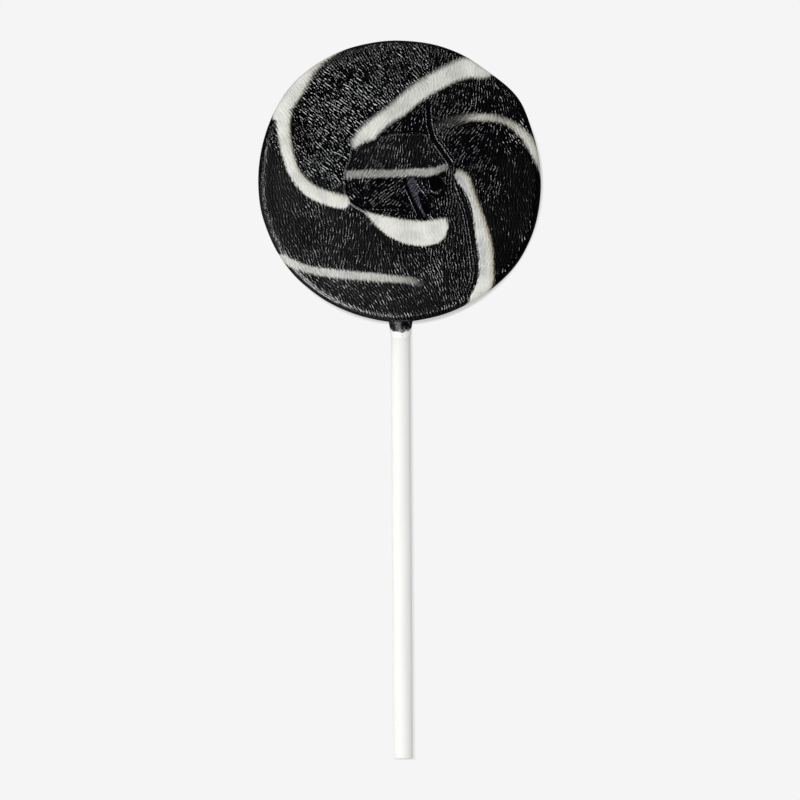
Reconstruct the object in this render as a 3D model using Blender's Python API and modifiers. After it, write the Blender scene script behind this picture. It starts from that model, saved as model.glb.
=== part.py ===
"""A swirl lollipop: a coil of twisted black and white candy, pressed flat, on a paper stick.

It lies on its flat back. The shown face looks up along +Z, and the stick runs along -Y.
The origin is the middle of the back face. Lengths are metres, written as millimetres times MM.
"""

import math

import bmesh
import bpy
import numpy as np
from mathutils import Vector

MM = 0.001

# The candy disc
CANDY_RADIUS = 32.6 * MM
CANDY_THICKNESS = 11.0 * MM
RIM_REACH = 4.7 * MM
RIM_POWER = 2.3
FACE_CROWN = 0.3 * MM
DISC_SECTORS = 90
RIM_STEPS = 6
RIM_GUIDE_STEPS = 60
FACE_RINGS = (0.0, 9.0 * MM, 18.0 * MM)

# Where the coil's passes swell or draw in the rim: angle and spread in degrees, height
RIM_SWELLS = (
    (136.0, 24.0, 0.75 * MM),
    (31.0, 12.0, 0.75 * MM),
    (58.0, 12.0, -0.25 * MM),
    (200.0, 30.0, 0.15 * MM),
    (270.0, 40.0, -0.10 * MM),
)

# The stick and the collar of candy round it
STICK_RADIUS = 2.25 * MM
STICK_TIP = -133.3 * MM
STICK_ROOT = 16.7 * MM
STICK_SIDES = 32
STICK_ROUNDING = 0.5 * MM
COLLAR_END = -35.0 * MM
COLLAR_ROOT = -27.0 * MM
COLLAR_END_RADIUS = 2.8 * MM
COLLAR_ROOT_RADIUS = 3.6 * MM
BORE_CLEARANCE = 0.25 * MM

# The white stripes, inlaid from the surface
STRIPE_DEPTH = 2.4 * MM
STRIPE_CLEARANCE = 0.3 * MM
CUTTER_PROUD = 1.0 * MM
STRIPE_STEPS = 3
BACK_STEPS = 11
BACK_END_RADIUS = 11.5 * MM
BACK_END_WIDTH = 1.6 * MM

# The seams where one pass of the coil is pressed against the next
SEAM_RADIUS = 0.8 * MM
SEAM_DEPTH = 0.4 * MM
SEAM_STEPS = 3

# Arms: the middle line on the shown face as x, y, width in mm, from the inner seam to the rim,
# and how many degrees the arm sweeps on over the back, where it runs in again.
ARMS = (
    (
        (
            (-11.3, -5.2, 2.6),
            (-17.3, -3.9, 3.4),
            (-22.4, -0.4, 3.2),
            (-26.2, 7.2, 2.9),
            (-26.9, 14.0, 3.2),
            (-25.6, 18.9, 4.3),
            (-21.9, 24.0, 5.0),
        ),
        -86.0,
    ),
    (
        (
            (-10.2, 9.3, 2.6),
            (-7.4, 12.3, 3.9),
            (0.0, 17.9, 4.3),
            (6.9, 22.4, 4.2),
            (13.8, 25.2, 4.2),
            (20.2, 25.6, 4.4),
        ),
        -76.0,
    ),
    (
        (
            (9.2, 12.1, 1.2),
            (14.3, 14.2, 1.6),
            (19.6, 14.7, 2.0),
            (24.9, 13.4, 2.2),
            (29.1, 10.2, 2.4),
            (31.6, 6.4, 2.6),
        ),
        -72.0,
    ),
    (
        (
            (13.6, 2.4, 2.0),
            (15.4, -0.6, 2.4),
            (17.5, -5.2, 2.3),
            (19.2, -11.7, 3.5),
            (20.1, -18.6, 3.7),
            (19.1, -24.4, 4.0),
            (17.3, -27.2, 4.4),
        ),
        -66.0,
    ),
    (
        (
            (4.6, -23.5, 1.4),
            (0.0, -22.8, 1.9),
            (-8.1, -22.1, 2.2),
            (-16.2, -21.0, 2.1),
            (-22.9, -19.4, 1.8),
            (-27.3, -17.4, 1.8),
        ),
        -62.0,
    ),
)

# Stripes of the coil's middle, which stay on one face: x, y, width in mm, shown face first
FRONT_MIDDLE = (
    (
        (-7.6, -7.3, 0.5),
        (-4.2, -9.4, 3.2),
        (0.0, -11.3, 5.0),
        (5.5, -12.2, 5.6),
        (8.6, -11.7, 5.0),
        (10.3, -11.0, 3.2),
    ),
    ((-12.0, 1.6, 1.7), (-3.9, 1.7, 1.7), (4.4, 1.9, 1.9), (8.3, 2.5, 2.0), (10.6, 3.3, 1.2)),
)
BACK_MIDDLE = (
    ((-8.0, 6.4, 1.2), (-3.4, 7.8, 3.0), (2.0, 7.6, 3.6), (7.0, 5.4, 1.4)),
    ((-8.4, -3.4, 1.0), (-2.6, -4.2, 1.7), (3.4, -4.6, 1.7), (8.2, -3.2, 1.0)),
)

# Seams on the shown face: round the middle, and out to the rim on the right
FRONT_SEAMS = (
    (
        (7.4, 9.8),
        (2.3, 10.9),
        (-3.5, 10.2),
        (-9.9, 7.9),
        (-12.5, 4.2),
        (-12.7, 0.3),
        (-11.3, -3.6),
        (-8.3, -6.4),
        (-5.0, -10.4),
        (-1.4, -13.6),
        (4.6, -20.0),
        (9.2, -25.5),
        (12.6, -28.2),
    ),
    (
        (6.9, 17.6),
        (7.0, 13.6),
        (8.0, 9.9),
        (10.3, 6.2),
        (12.2, 3.0),
        (14.3, -2.0),
        (16.4, -7.7),
        (17.8, -14.7),
        (18.2, -21.6),
        (16.4, -26.8),
    ),
)
BACK_SEAM_START_RADIUS = 12.6 * MM
BACK_SEAM_END_RADIUS = 28.5 * MM
BACK_SEAM_TURN = 250.0
BACK_SEAM_START = 35.0
BACK_SEAM_POINTS = 22


def clear_scene():
    """Remove the objects that a new file opens with."""
    for obj in list(bpy.data.objects):
        bpy.data.objects.remove(obj, do_unlink=True)


def make_collection(name):
    """Add a named collection to the scene."""
    collection = bpy.data.collections.new(name)
    bpy.context.scene.collection.children.link(collection)
    return collection


def make_material(name, colour, roughness):
    """A plain finish: colour and roughness on a Principled BSDF."""
    material = bpy.data.materials.new(name)
    material.use_nodes = True
    shader = material.node_tree.nodes["Principled BSDF"]
    shader.inputs["Base Color"].default_value = (*colour, 1.0)
    shader.inputs["Roughness"].default_value = roughness
    shader.inputs["Metallic"].default_value = 0.0
    material.diffuse_color = (*colour, 1.0)
    return material


def add_object(name, mesh, collection):
    """Put a mesh in a collection as a new object."""
    obj = bpy.data.objects.new(name, mesh)
    collection.objects.link(obj)
    return obj


def as_cutter(obj):
    """Show an object as wire and keep it out of renders."""
    obj.display_type = "WIRE"
    obj.hide_render = True
    return obj


def evaluated_copy(obj, name):
    """The mesh of an object with its modifiers worked out, welded."""
    depsgraph = bpy.context.evaluated_depsgraph_get()
    mesh = bpy.data.meshes.new_from_object(obj.evaluated_get(depsgraph))
    mesh.name = name
    bm = bmesh.new()
    bm.from_mesh(mesh)
    bmesh.ops.remove_doubles(bm, verts=bm.verts, dist=0.001 * MM)
    bm.to_mesh(mesh)
    bm.free()
    return mesh


def rim_curve(steps):
    """Radius and height of the rounded rim, from the shown face's edge round to the back's.

    Each half is a quarter of a superellipse, crowned face to equator and equator to flat back.
    """
    turn = np.linspace(0.0, math.pi / 2.0, steps + 1)
    outward = np.sin(turn) ** (2.0 / RIM_POWER)
    inward = np.cos(turn) ** (2.0 / RIM_POWER)
    half = CANDY_THICKNESS / 2.0
    radius = CANDY_RADIUS - RIM_REACH * (1.0 - outward)
    upper = half + (half - FACE_CROWN) * inward
    lower = half - half * inward
    return np.append(radius, radius[-2::-1]), np.append(upper, lower[-2::-1])


def disc_profile(rim_steps):
    """Half section of the disc, from the middle of the shown face round to the middle of the back."""
    rim_radius, rim_height = rim_curve(rim_steps)
    rings = np.array(FACE_RINGS)
    crown = CANDY_THICKNESS - FACE_CROWN * (rings / rim_radius[0]) ** 2
    radius = np.concatenate((rings, rim_radius, rings[::-1]))
    height = np.concatenate((crown, rim_height, np.zeros(len(rings))))
    return radius, height


# A finely stepped section, which guides the stripes and seams along the surface
PROFILE_RADIUS, PROFILE_HEIGHT = disc_profile(RIM_GUIDE_STEPS)
PROFILE_TRAVEL = np.append(0.0, np.cumsum(np.hypot(np.diff(PROFILE_RADIUS), np.diff(PROFILE_HEIGHT))))
EQUATOR = int(np.argmax(PROFILE_RADIUS))


def rim_swell(angle):
    """How far the rim stands out or in at an angle: a sum of bell curves."""
    degrees = np.degrees(angle)
    total = np.zeros_like(degrees)
    for centre, spread, height in RIM_SWELLS:
        away = (degrees - centre + 180.0) % 360.0 - 180.0
        total += height * np.exp(-((away / spread) ** 2))
    return total


def swollen(radius, angle):
    """A radius of the turned disc moved by the rim's swell, more the nearer it is to the rim."""
    return radius + rim_swell(angle) * (radius / CANDY_RADIUS) ** 4


def surface_point(angle, travel):
    """Points of the disc's surface at an angle and a length of travel from the shown face's middle."""
    radius = swollen(np.interp(travel, PROFILE_TRAVEL, PROFILE_RADIUS), angle)
    height = np.interp(travel, PROFILE_TRAVEL, PROFILE_HEIGHT)
    return np.stack((radius * np.cos(angle), radius * np.sin(angle), height), axis=-1)


def front_travel(radius):
    """Travel from the middle of the shown face out to a radius on that face."""
    return np.interp(radius, PROFILE_RADIUS[: EQUATOR + 1], PROFILE_TRAVEL[: EQUATOR + 1])


def back_travel(radius):
    """Travel from the middle of the shown face over the rim and in to a radius on the back."""
    inward = slice(None, EQUATOR - 1, -1)
    return np.interp(radius, PROFILE_RADIUS[inward], PROFILE_TRAVEL[inward])


def smooth_line(points, steps):
    """A Catmull-Rom curve through rows of numbers, with the given steps between each two."""
    rows = np.array(points, dtype=float)
    rows = np.vstack((2.0 * rows[0] - rows[1], rows, 2.0 * rows[-1] - rows[-2]))
    step = np.linspace(0.0, 1.0, steps, endpoint=False)[:, None]
    pieces = []
    for before, start, end, after in zip(rows[:-3], rows[1:-2], rows[2:-1], rows[3:]):
        pieces.append(
            0.5
            * (
                2.0 * start
                + (end - before) * step
                + (2.0 * before - 5.0 * start + 4.0 * end - after) * step**2
                + (3.0 * start - before - 3.0 * end + after) * step**3
            )
        )
    return np.vstack(pieces + [rows[-2][None]])


def face_path(points, shown):
    """Angle, travel and width along a stripe that stays on one face."""
    line = smooth_line(points, STRIPE_STEPS) * MM
    angle = np.unwrap(np.arctan2(line[:, 1], line[:, 0]))
    radius = np.hypot(line[:, 0], line[:, 1])
    travel = front_travel(radius) if shown else back_travel(radius)
    return angle, travel, line[:, 2]


def arm_path(points, back_sweep):
    """Angle, travel and width along an arm, out over the shown face, round the rim and in again.

    The back part leaves the rim in the direction in which the front part reaches it. Its angle
    is a quadratic in the travel, so that it turns the whole back sweep by the arm's end.
    """
    angle, travel, width = face_path(points, True)
    slope = (angle[-1] - angle[-3]) / (travel[-1] - travel[-3])
    ahead = np.linspace(0.0, back_travel(BACK_END_RADIUS) - travel[-1], BACK_STEPS + 1)[1:]
    sweep = math.radians(back_sweep)
    bend = (sweep - slope * ahead[-1]) / ahead[-1] ** 2
    back_angle = angle[-1] + slope * ahead + bend * ahead**2
    back_width = width[-1] + (BACK_END_WIDTH - width[-1]) * (ahead / ahead[-1]) ** 2
    return (
        np.append(angle, back_angle),
        np.append(travel, travel[-1] + ahead),
        np.append(width, back_width),
    )


def unit(vectors):
    """Rows scaled to length one."""
    return vectors / np.linalg.norm(vectors, axis=-1, keepdims=True)


def surface_normal(angle, travel):
    """Outward normal of the disc, from the surface's slopes along travel and round the axis."""
    nudge = 0.5 * MM
    along = surface_point(angle, travel + nudge) - surface_point(angle, travel - nudge)
    round_axis = np.stack((-np.sin(angle), np.cos(angle), np.zeros_like(angle)), axis=-1)
    return unit(np.cross(along, round_axis))


def ribbon(name, path, grow, collection):
    """A closed band along a path, from proud of the surface down to a stripe's depth under it.

    It is a loft: each section is a rectangle, square to the path and to the surface, as wide as
    the stripe is there, and its twisted sides are halved the same way in a stripe and its pocket.
    Grow widens, deepens and lengthens the band by the stripe's clearance.
    """
    angle, travel, width = path
    middle = surface_point(angle, travel)
    normal = surface_normal(angle, travel)
    forward = unit(np.gradient(middle, axis=0))
    side = unit(np.cross(forward, normal))
    middle[0] -= forward[0] * grow
    middle[-1] += forward[-1] * grow
    half = (width / 2.0 + grow)[:, None]
    outer = middle + normal * (CUTTER_PROUD + grow)
    inner = middle - normal * (STRIPE_DEPTH + grow)
    corners = (outer - side * half, outer + side * half, inner + side * half, inner - side * half)
    sections = np.stack(corners, axis=1)
    count = len(sections)
    faces = [(3, 2, 1, 0), tuple(4 * (count - 1) + corner for corner in range(4))]
    for i in range(count - 1):
        for j in range(4):
            here, along = 4 * i + j, 4 * i + (j + 1) % 4
            faces.append((here, along, along + 4))
            faces.append((here, along + 4, here + 4))
    mesh = bpy.data.meshes.new(name)
    mesh.from_pydata(sections.reshape(-1, 3).tolist(), [], faces)
    return as_cutter(add_object(name, mesh, collection))


def seam_tube(name, points, collection):
    """A round cutter that runs along the surface and takes a shallow groove out of it."""
    curve = bpy.data.curves.new(name, "CURVE")
    curve.dimensions = "3D"
    curve.bevel_depth = SEAM_RADIUS
    curve.bevel_resolution = 1
    curve.use_fill_caps = True
    spline = curve.splines.new("POLY")
    spline.points.add(len(points) - 1)
    for slot, point in zip(spline.points, points):
        slot.co = (*point, 1.0)
    tube = bpy.data.objects.new(name, curve)
    collection.objects.link(tube)
    mesh = evaluated_copy(tube, name)
    bpy.data.objects.remove(tube, do_unlink=True)
    return as_cutter(add_object(name, mesh, collection))


def add_seams(collection):
    """The cutters of the seams on both faces, raised so that each cuts to its depth."""
    lift = SEAM_RADIUS - SEAM_DEPTH
    for number, points in enumerate(FRONT_SEAMS, 1):
        line = smooth_line(points, SEAM_STEPS) * MM
        angle = np.arctan2(line[:, 1], line[:, 0])
        travel = front_travel(np.hypot(line[:, 0], line[:, 1]))
        path = surface_point(angle, travel) + surface_normal(angle, travel) * lift
        seam_tube(f"seam_front_{number}", path, collection)
    step = np.linspace(0.0, 1.0, BACK_SEAM_POINTS)
    angle = np.radians(BACK_SEAM_START + BACK_SEAM_TURN * step)
    radius = BACK_SEAM_START_RADIUS + (BACK_SEAM_END_RADIUS - BACK_SEAM_START_RADIUS) * step**2
    travel = back_travel(radius)
    path = surface_point(angle, travel) + surface_normal(angle, travel) * lift
    seam_tube("seam_back", path, collection)


def boolean(obj, name, operation, cutter):
    """Add a Boolean modifier that works with one object or with a whole collection."""
    modifier = obj.modifiers.new(name, "BOOLEAN")
    modifier.operation = operation
    modifier.solver = "EXACT"
    if isinstance(cutter, bpy.types.Collection):
        modifier.operand_type = "COLLECTION"
        modifier.collection = cutter
    else:
        modifier.object = cutter
    return modifier


def disc_blank(cutters, seams):
    """The whole disc before the stripes are parted from it: turned, swollen and seamed."""
    mesh = bpy.data.meshes.new("disc_profile")
    points = [(radius, 0.0, height) for radius, height in zip(*disc_profile(RIM_STEPS))]
    mesh.from_pydata(points, [(i, i + 1) for i in range(len(points) - 1)], [])
    turned = as_cutter(add_object("disc_turned", mesh, cutters))
    screw = turned.modifiers.new("Turn", "SCREW")
    screw.axis = "Z"
    screw.steps = DISC_SECTORS
    screw.render_steps = DISC_SECTORS
    screw.use_merge_vertices = True
    screw.merge_threshold = 0.001 * MM
    swelled = evaluated_copy(turned, "disc_swollen")
    for vertex in swelled.vertices:
        angle = math.atan2(vertex.co.y, vertex.co.x)
        radius = math.hypot(vertex.co.x, vertex.co.y)
        reach = float(swollen(radius, np.array(angle)))
        vertex.co.x = reach * math.cos(angle)
        vertex.co.y = reach * math.sin(angle)
    bpy.data.objects.remove(turned, do_unlink=True)
    blank = as_cutter(add_object("disc_blank", swelled, cutters))
    boolean(blank, "Seams", "DIFFERENCE", seams)
    seamed = evaluated_copy(blank, "disc_blank")
    bpy.data.objects.remove(blank, do_unlink=True)
    return seamed


def cylinder_along_y(name, radius, start, end, sides, collection, end_radius=None):
    """A closed cylinder or cone on the stick's axis, from start down to end along Y."""
    mesh = bpy.data.meshes.new(name)
    bm = bmesh.new()
    bmesh.ops.create_cone(
        bm,
        cap_ends=True,
        segments=sides,
        radius1=radius,
        radius2=radius if end_radius is None else end_radius,
        depth=start - end,
    )
    bm.to_mesh(mesh)
    bm.free()
    obj = add_object(name, mesh, collection)
    obj.rotation_euler = (math.pi / 2.0, 0.0, 0.0)
    obj.location = Vector((0.0, (start + end) / 2.0, CANDY_THICKNESS / 2.0))
    return obj


def add_stick(collection, material):
    """The rolled paper stick, with its two ends slightly rounded."""
    stick = cylinder_along_y("stick", STICK_RADIUS, STICK_ROOT, STICK_TIP, STICK_SIDES, collection)
    rounding = stick.modifiers.new("Rounded ends", "BEVEL")
    rounding.width = STICK_ROUNDING
    rounding.segments = 2
    rounding.limit_method = "ANGLE"
    rounding.angle_limit = math.radians(60.0)
    stick.data.materials.append(material)


def shade_round(mesh):
    """Smooth shading with creases kept sharp."""
    mesh.shade_smooth()
    mesh.set_sharp_from_angle(angle=math.radians(35.0))


def build():
    """Make the lollipop."""
    clear_scene()
    parts = make_collection("Lollipop")
    cutters = make_collection("Cutters")
    seams = make_collection("Seam cutters")
    pockets = make_collection("Pocket cutters")
    black = make_material("black_candy", (0.012, 0.012, 0.014), 0.25)
    white = make_material("white_candy", (0.76, 0.75, 0.70), 0.4)
    paper = make_material("stick_paper", (0.86, 0.86, 0.84), 0.7)

    add_seams(seams)
    blank = disc_blank(cutters, seams)

    paths = [arm_path(points, sweep) for points, sweep in ARMS]
    paths += [face_path(points, True) for points in FRONT_MIDDLE]
    paths += [face_path(points, False) for points in BACK_MIDDLE]
    for number, path in enumerate(paths, 1):
        band = ribbon(f"band_{number}", path, 0.0, cutters)
        ribbon(f"pocket_{number}", path, STRIPE_CLEARANCE, pockets)
        stripe = add_object(f"white_stripe_{number}", blank.copy(), parts)
        boolean(stripe, "Band", "INTERSECT", band)
        shade_round(stripe.data)
        stripe.data.materials.append(white)

    body = add_object("candy_body", blank, parts)
    collar = cylinder_along_y(
        "collar", COLLAR_ROOT_RADIUS, COLLAR_ROOT, COLLAR_END, STICK_SIDES, cutters, COLLAR_END_RADIUS
    )
    bore = cylinder_along_y(
        "bore",
        STICK_RADIUS + BORE_CLEARANCE,
        STICK_ROOT + STRIPE_CLEARANCE,
        COLLAR_END - STICK_RADIUS,
        STICK_SIDES,
        cutters,
    )
    boolean(body, "Collar", "UNION", as_cutter(collar))
    boolean(body, "Pockets", "DIFFERENCE", pockets)
    boolean(body, "Bore", "DIFFERENCE", as_cutter(bore))
    shade_round(blank)
    blank.materials.append(black)

    add_stick(parts, paper)


build()
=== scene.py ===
"""The looks of a swirl lollipop: black and white pressed candy on a rolled paper stick.

The lollipop lies on its flat back, and the camera looks straight down on it. Shapes are worked
out in millimetres as numpy arrays, and go into the meshes in metres.
"""

import logging
import math
from dataclasses import dataclass, field
from enum import Enum
from typing import Sequence

import bpy
import numpy as np
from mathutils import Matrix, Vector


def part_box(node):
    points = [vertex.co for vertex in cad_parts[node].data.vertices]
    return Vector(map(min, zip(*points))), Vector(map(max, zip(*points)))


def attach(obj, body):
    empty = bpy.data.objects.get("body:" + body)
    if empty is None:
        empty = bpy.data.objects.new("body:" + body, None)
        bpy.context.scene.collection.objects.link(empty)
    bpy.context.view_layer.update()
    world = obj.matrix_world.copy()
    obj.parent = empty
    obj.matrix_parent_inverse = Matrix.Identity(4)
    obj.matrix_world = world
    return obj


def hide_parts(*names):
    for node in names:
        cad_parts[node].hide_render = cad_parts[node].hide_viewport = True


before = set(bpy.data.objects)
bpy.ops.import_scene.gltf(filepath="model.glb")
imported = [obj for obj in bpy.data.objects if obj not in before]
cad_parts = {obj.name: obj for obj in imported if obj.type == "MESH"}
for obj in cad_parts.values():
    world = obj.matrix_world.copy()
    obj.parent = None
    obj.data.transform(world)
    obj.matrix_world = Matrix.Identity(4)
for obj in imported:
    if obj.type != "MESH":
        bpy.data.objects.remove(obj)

LOG = logging.getLogger("lollipop")
MM = 0.001
FULL_TURN = 2.0 * math.pi

Colour = tuple[float, float, float, float]
Point = tuple[float, float]
BLACK: Colour = (0.0, 0.0, 0.0, 1.0)
WHITE: Colour = (1.0, 1.0, 1.0, 1.0)


class Face(Enum):
    """Which face of the disc a line is drawn on."""

    SHOWN = "shown"
    BACK = "back"


class Patch(Enum):
    """Stretches of the shown face between the seams, each with its own run of wrinkles."""

    COIL = 0
    MIDDLE = 1
    RIGHT = 2


@dataclass(frozen=True)
class Stripe:
    """A white strand: its middle line with widths, and how its edges and colour run.

    Attributes:
        name: What the strand is.
        points: x, y, width in mm and whiteness from 0 to 1, along the strand.
        face: The face that the points are drawn on.
        patch: The patch at whose seam it is cut off, if any.
        rim_points: Angle in degrees, travel and width in mm and whiteness, where it goes on over the rim.
        back_sweep: Degrees that an arm turns on over the back, or 0 for a strand of one face.
        blur: Half width in mm of the soft edge on the right and on the left of its run.
        tint: Cream above 0 and cold grey below 0, on the right and on the left.
    """

    name: str
    points: tuple[tuple[float, float, float, float], ...]
    face: Face = Face.SHOWN
    patch: Patch | None = None
    rim_points: tuple[tuple[float, float, float, float], ...] = ()
    back_sweep: float = 0.0
    blur: tuple[float, float] = (0.3, 0.3)
    tint: tuple[float, float] = (0.0, 0.0)


@dataclass(frozen=True)
class Blot:
    """A stretch of the shown face with an outline of its own.

    Attributes:
        name: What the stretch is.
        outline: x and y in mm round it.
        blur: Half width in mm of the soft edge, in its upper and in its lower half.
        white: Whiteness from 0 to 1.
        tint: Cream above 0 and cold grey below 0.
        mist: Share of a thin grey-blue film over the black.
        calm: Share of the wrinkles that is missing.
    """

    name: str
    outline: tuple[Point, ...]
    blur: tuple[float, float] = (0.2, 0.2)
    white: float = 0.0
    tint: float = 0.0
    mist: float = 0.0
    calm: float = 0.0


@dataclass(frozen=True)
class Fold:
    """A crease, or a seam where one pass of the coil is pressed against the next.

    Attributes:
        points: x and y in mm along the crease.
        depth: Depth of the crease in mm, or the height of a ridge below 0.
        width: Half width of the crease in mm.
        step: How much higher the face stands to the left of the line's run, in mm.
        ripples: Height in mm of the small folds that run beside the crease.
        reach: How far in mm these reach from it.
        face: The face that the points are drawn on.
    """

    points: tuple[Point, ...]
    depth: float
    width: float = 0.22
    step: float = 0.0
    ripples: float = 0.0
    reach: float = 1.5
    face: Face = Face.SHOWN


def catmull_rom(rows: Sequence[Sequence[float]], spacing: float) -> np.ndarray:
    """Draw a smooth curve through rows of numbers whose first two columns are a place.

    Each stretch is the Catmull-Rom cubic of its two ends and their outer neighbours.

    Args:
        rows: The points to pass through, with any further values beside the place.
        spacing: Greatest distance between the points returned.

    Returns:
        One row for each point of the curve.
    """
    table = np.array(rows, dtype=float)
    table = np.vstack((2.0 * table[0] - table[1], table, 2.0 * table[-1] - table[-2]))
    pieces = []
    for before, start, end, after in zip(table[:-3], table[1:-2], table[2:-1], table[3:]):
        count = max(2, int(np.ceil(np.hypot(*(end - start)[:2]) / spacing)))
        t = np.linspace(0.0, 1.0, count, endpoint=False)[:, None]
        cubic = 2.0 * start + (end - before) * t
        cubic = cubic + (2.0 * before - 5.0 * start + 4.0 * end - after) * t**2
        cubic = cubic + (3.0 * start - before - 3.0 * end + after) * t**3
        pieces.append(0.5 * cubic)
    return np.vstack(pieces + [table[-2][None]])


def unit(vectors: np.ndarray) -> np.ndarray:
    """Scale each row to length one."""
    return vectors / np.maximum(np.linalg.norm(vectors, axis=-1, keepdims=True), 1e-12)


def smoothstep(low: float, high: float, value: np.ndarray) -> np.ndarray:
    """Rise from 0 at low to 1 at high by the cubic 3t^2 - 2t^3."""
    t = np.clip((value - low) / (high - low), 0.0, 1.0)
    return t * t * (3.0 - 2.0 * t)


def bell(value: np.ndarray, width: float) -> np.ndarray:
    """Fall from 1 at 0 by the bell curve exp(-(value / width)^2)."""
    return np.exp(-((value / width) ** 2))


@dataclass(frozen=True)
class DiscShape:
    """The pressed disc, as a surface of an angle and a travel.

    Travel is the length in mm along the half section, from the middle of the shown face out, over
    the rounded rim and in to the middle of the back. A swell is an angle, a spread in degrees and
    how far in mm the rim stands out there.
    """

    radius: float = 32.6
    thickness: float = 11.0
    skin_allowance: float = 0.08
    rim_reach: float = 3.9
    rim_power: float = 7.0
    crown: float = 0.3
    flat_steps: int = 40
    rim_steps: int = 90
    swells: tuple[tuple[float, float, float], ...] = (
        (136.0, 24.0, 0.75), (34.5, 10.5, 0.78), (50.0, 8.0, -0.15), (200.0, 30.0, 0.15),
        (270.0, 36.0, -0.32), (85.0, 14.0, -0.2), (328.0, 18.0, 0.57), (268.0, 12.0, 0.32),
    )

    def section(self) -> tuple[np.ndarray, np.ndarray, np.ndarray]:
        """Work out the half section: crowned face, two superellipse quarters, flat back.

        Returns:
            Travel, radius and height along the section.
        """
        turn = np.linspace(0.0, math.pi / 2.0, self.rim_steps)
        outward = np.sin(turn) ** (2.0 / self.rim_power)
        inward = np.cos(turn) ** (2.0 / self.rim_power)
        low, high = self.skin_allowance, self.thickness - self.skin_allowance
        middle = (low + high) / 2.0
        rim = self.radius - self.rim_reach * (1.0 - outward)
        upper = middle + (high - self.crown - middle) * inward
        lower = middle - (middle - low) * inward
        flat = np.linspace(0.0, rim[0], self.flat_steps, endpoint=False)
        crowned = high - self.crown * (flat / rim[0]) ** 2
        radius = np.concatenate((flat, rim, rim[-2::-1], flat[::-1]))
        height = np.concatenate((crowned, upper, lower[-2::-1], np.full(len(flat), low)))
        travel = np.append(0.0, np.cumsum(np.hypot(np.diff(radius), np.diff(height))))
        return travel, radius, height

    def face_edge(self) -> float:
        """Give the travel where the shown face rounds into the rim."""
        return float(self.travel_at(np.array(self.radius - self.rim_reach), Face.SHOWN))

    def full_travel(self) -> float:
        """Give the travel from the middle of the shown face to the middle of the back."""
        return float(self.section()[0][-1])

    def swell(self, angle: np.ndarray) -> np.ndarray:
        """Sum the bell curves by which the rim stands out or in at an angle."""
        degrees = np.degrees(angle)
        total = np.zeros_like(degrees)
        for centre, spread, height in self.swells:
            away = (degrees - centre + 180.0) % 360.0 - 180.0
            total += height * bell(away, spread)
        return total

    def position(self, angle: np.ndarray, travel: np.ndarray) -> np.ndarray:
        """Place points of the surface.

        Args:
            angle: Angle round the disc in radians.
            travel: Travel in mm.

        Returns:
            A row of x, y and z in mm for each point.
        """
        along, radius, height = self.section()
        reach = np.interp(travel, along, radius)
        reach = reach + self.swell(angle) * (reach / self.radius) ** 4
        level = np.interp(travel, along, height)
        return np.stack((reach * np.cos(angle), reach * np.sin(angle), level), axis=-1)

    def normal(self, angle: np.ndarray, travel: np.ndarray) -> np.ndarray:
        """Give the outward normals: the slope along the travel crossed with the turn's direction."""
        nudge = 0.15
        slope = self.position(angle, travel + nudge) - self.position(angle, travel - nudge)
        round_axis = np.stack((-np.sin(angle), np.cos(angle), np.zeros_like(angle)), axis=-1)
        return unit(np.cross(slope, round_axis))

    def travel_at(self, radius: np.ndarray, face: Face) -> np.ndarray:
        """Turn a radius on one of the faces into a travel."""
        along, reach, _ = self.section()
        equator = int(np.argmax(reach))
        if face is Face.SHOWN:
            return np.interp(radius, reach[: equator + 1], along[: equator + 1])
        return np.interp(radius, reach[: equator - 1 : -1], along[: equator - 1 : -1])


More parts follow.
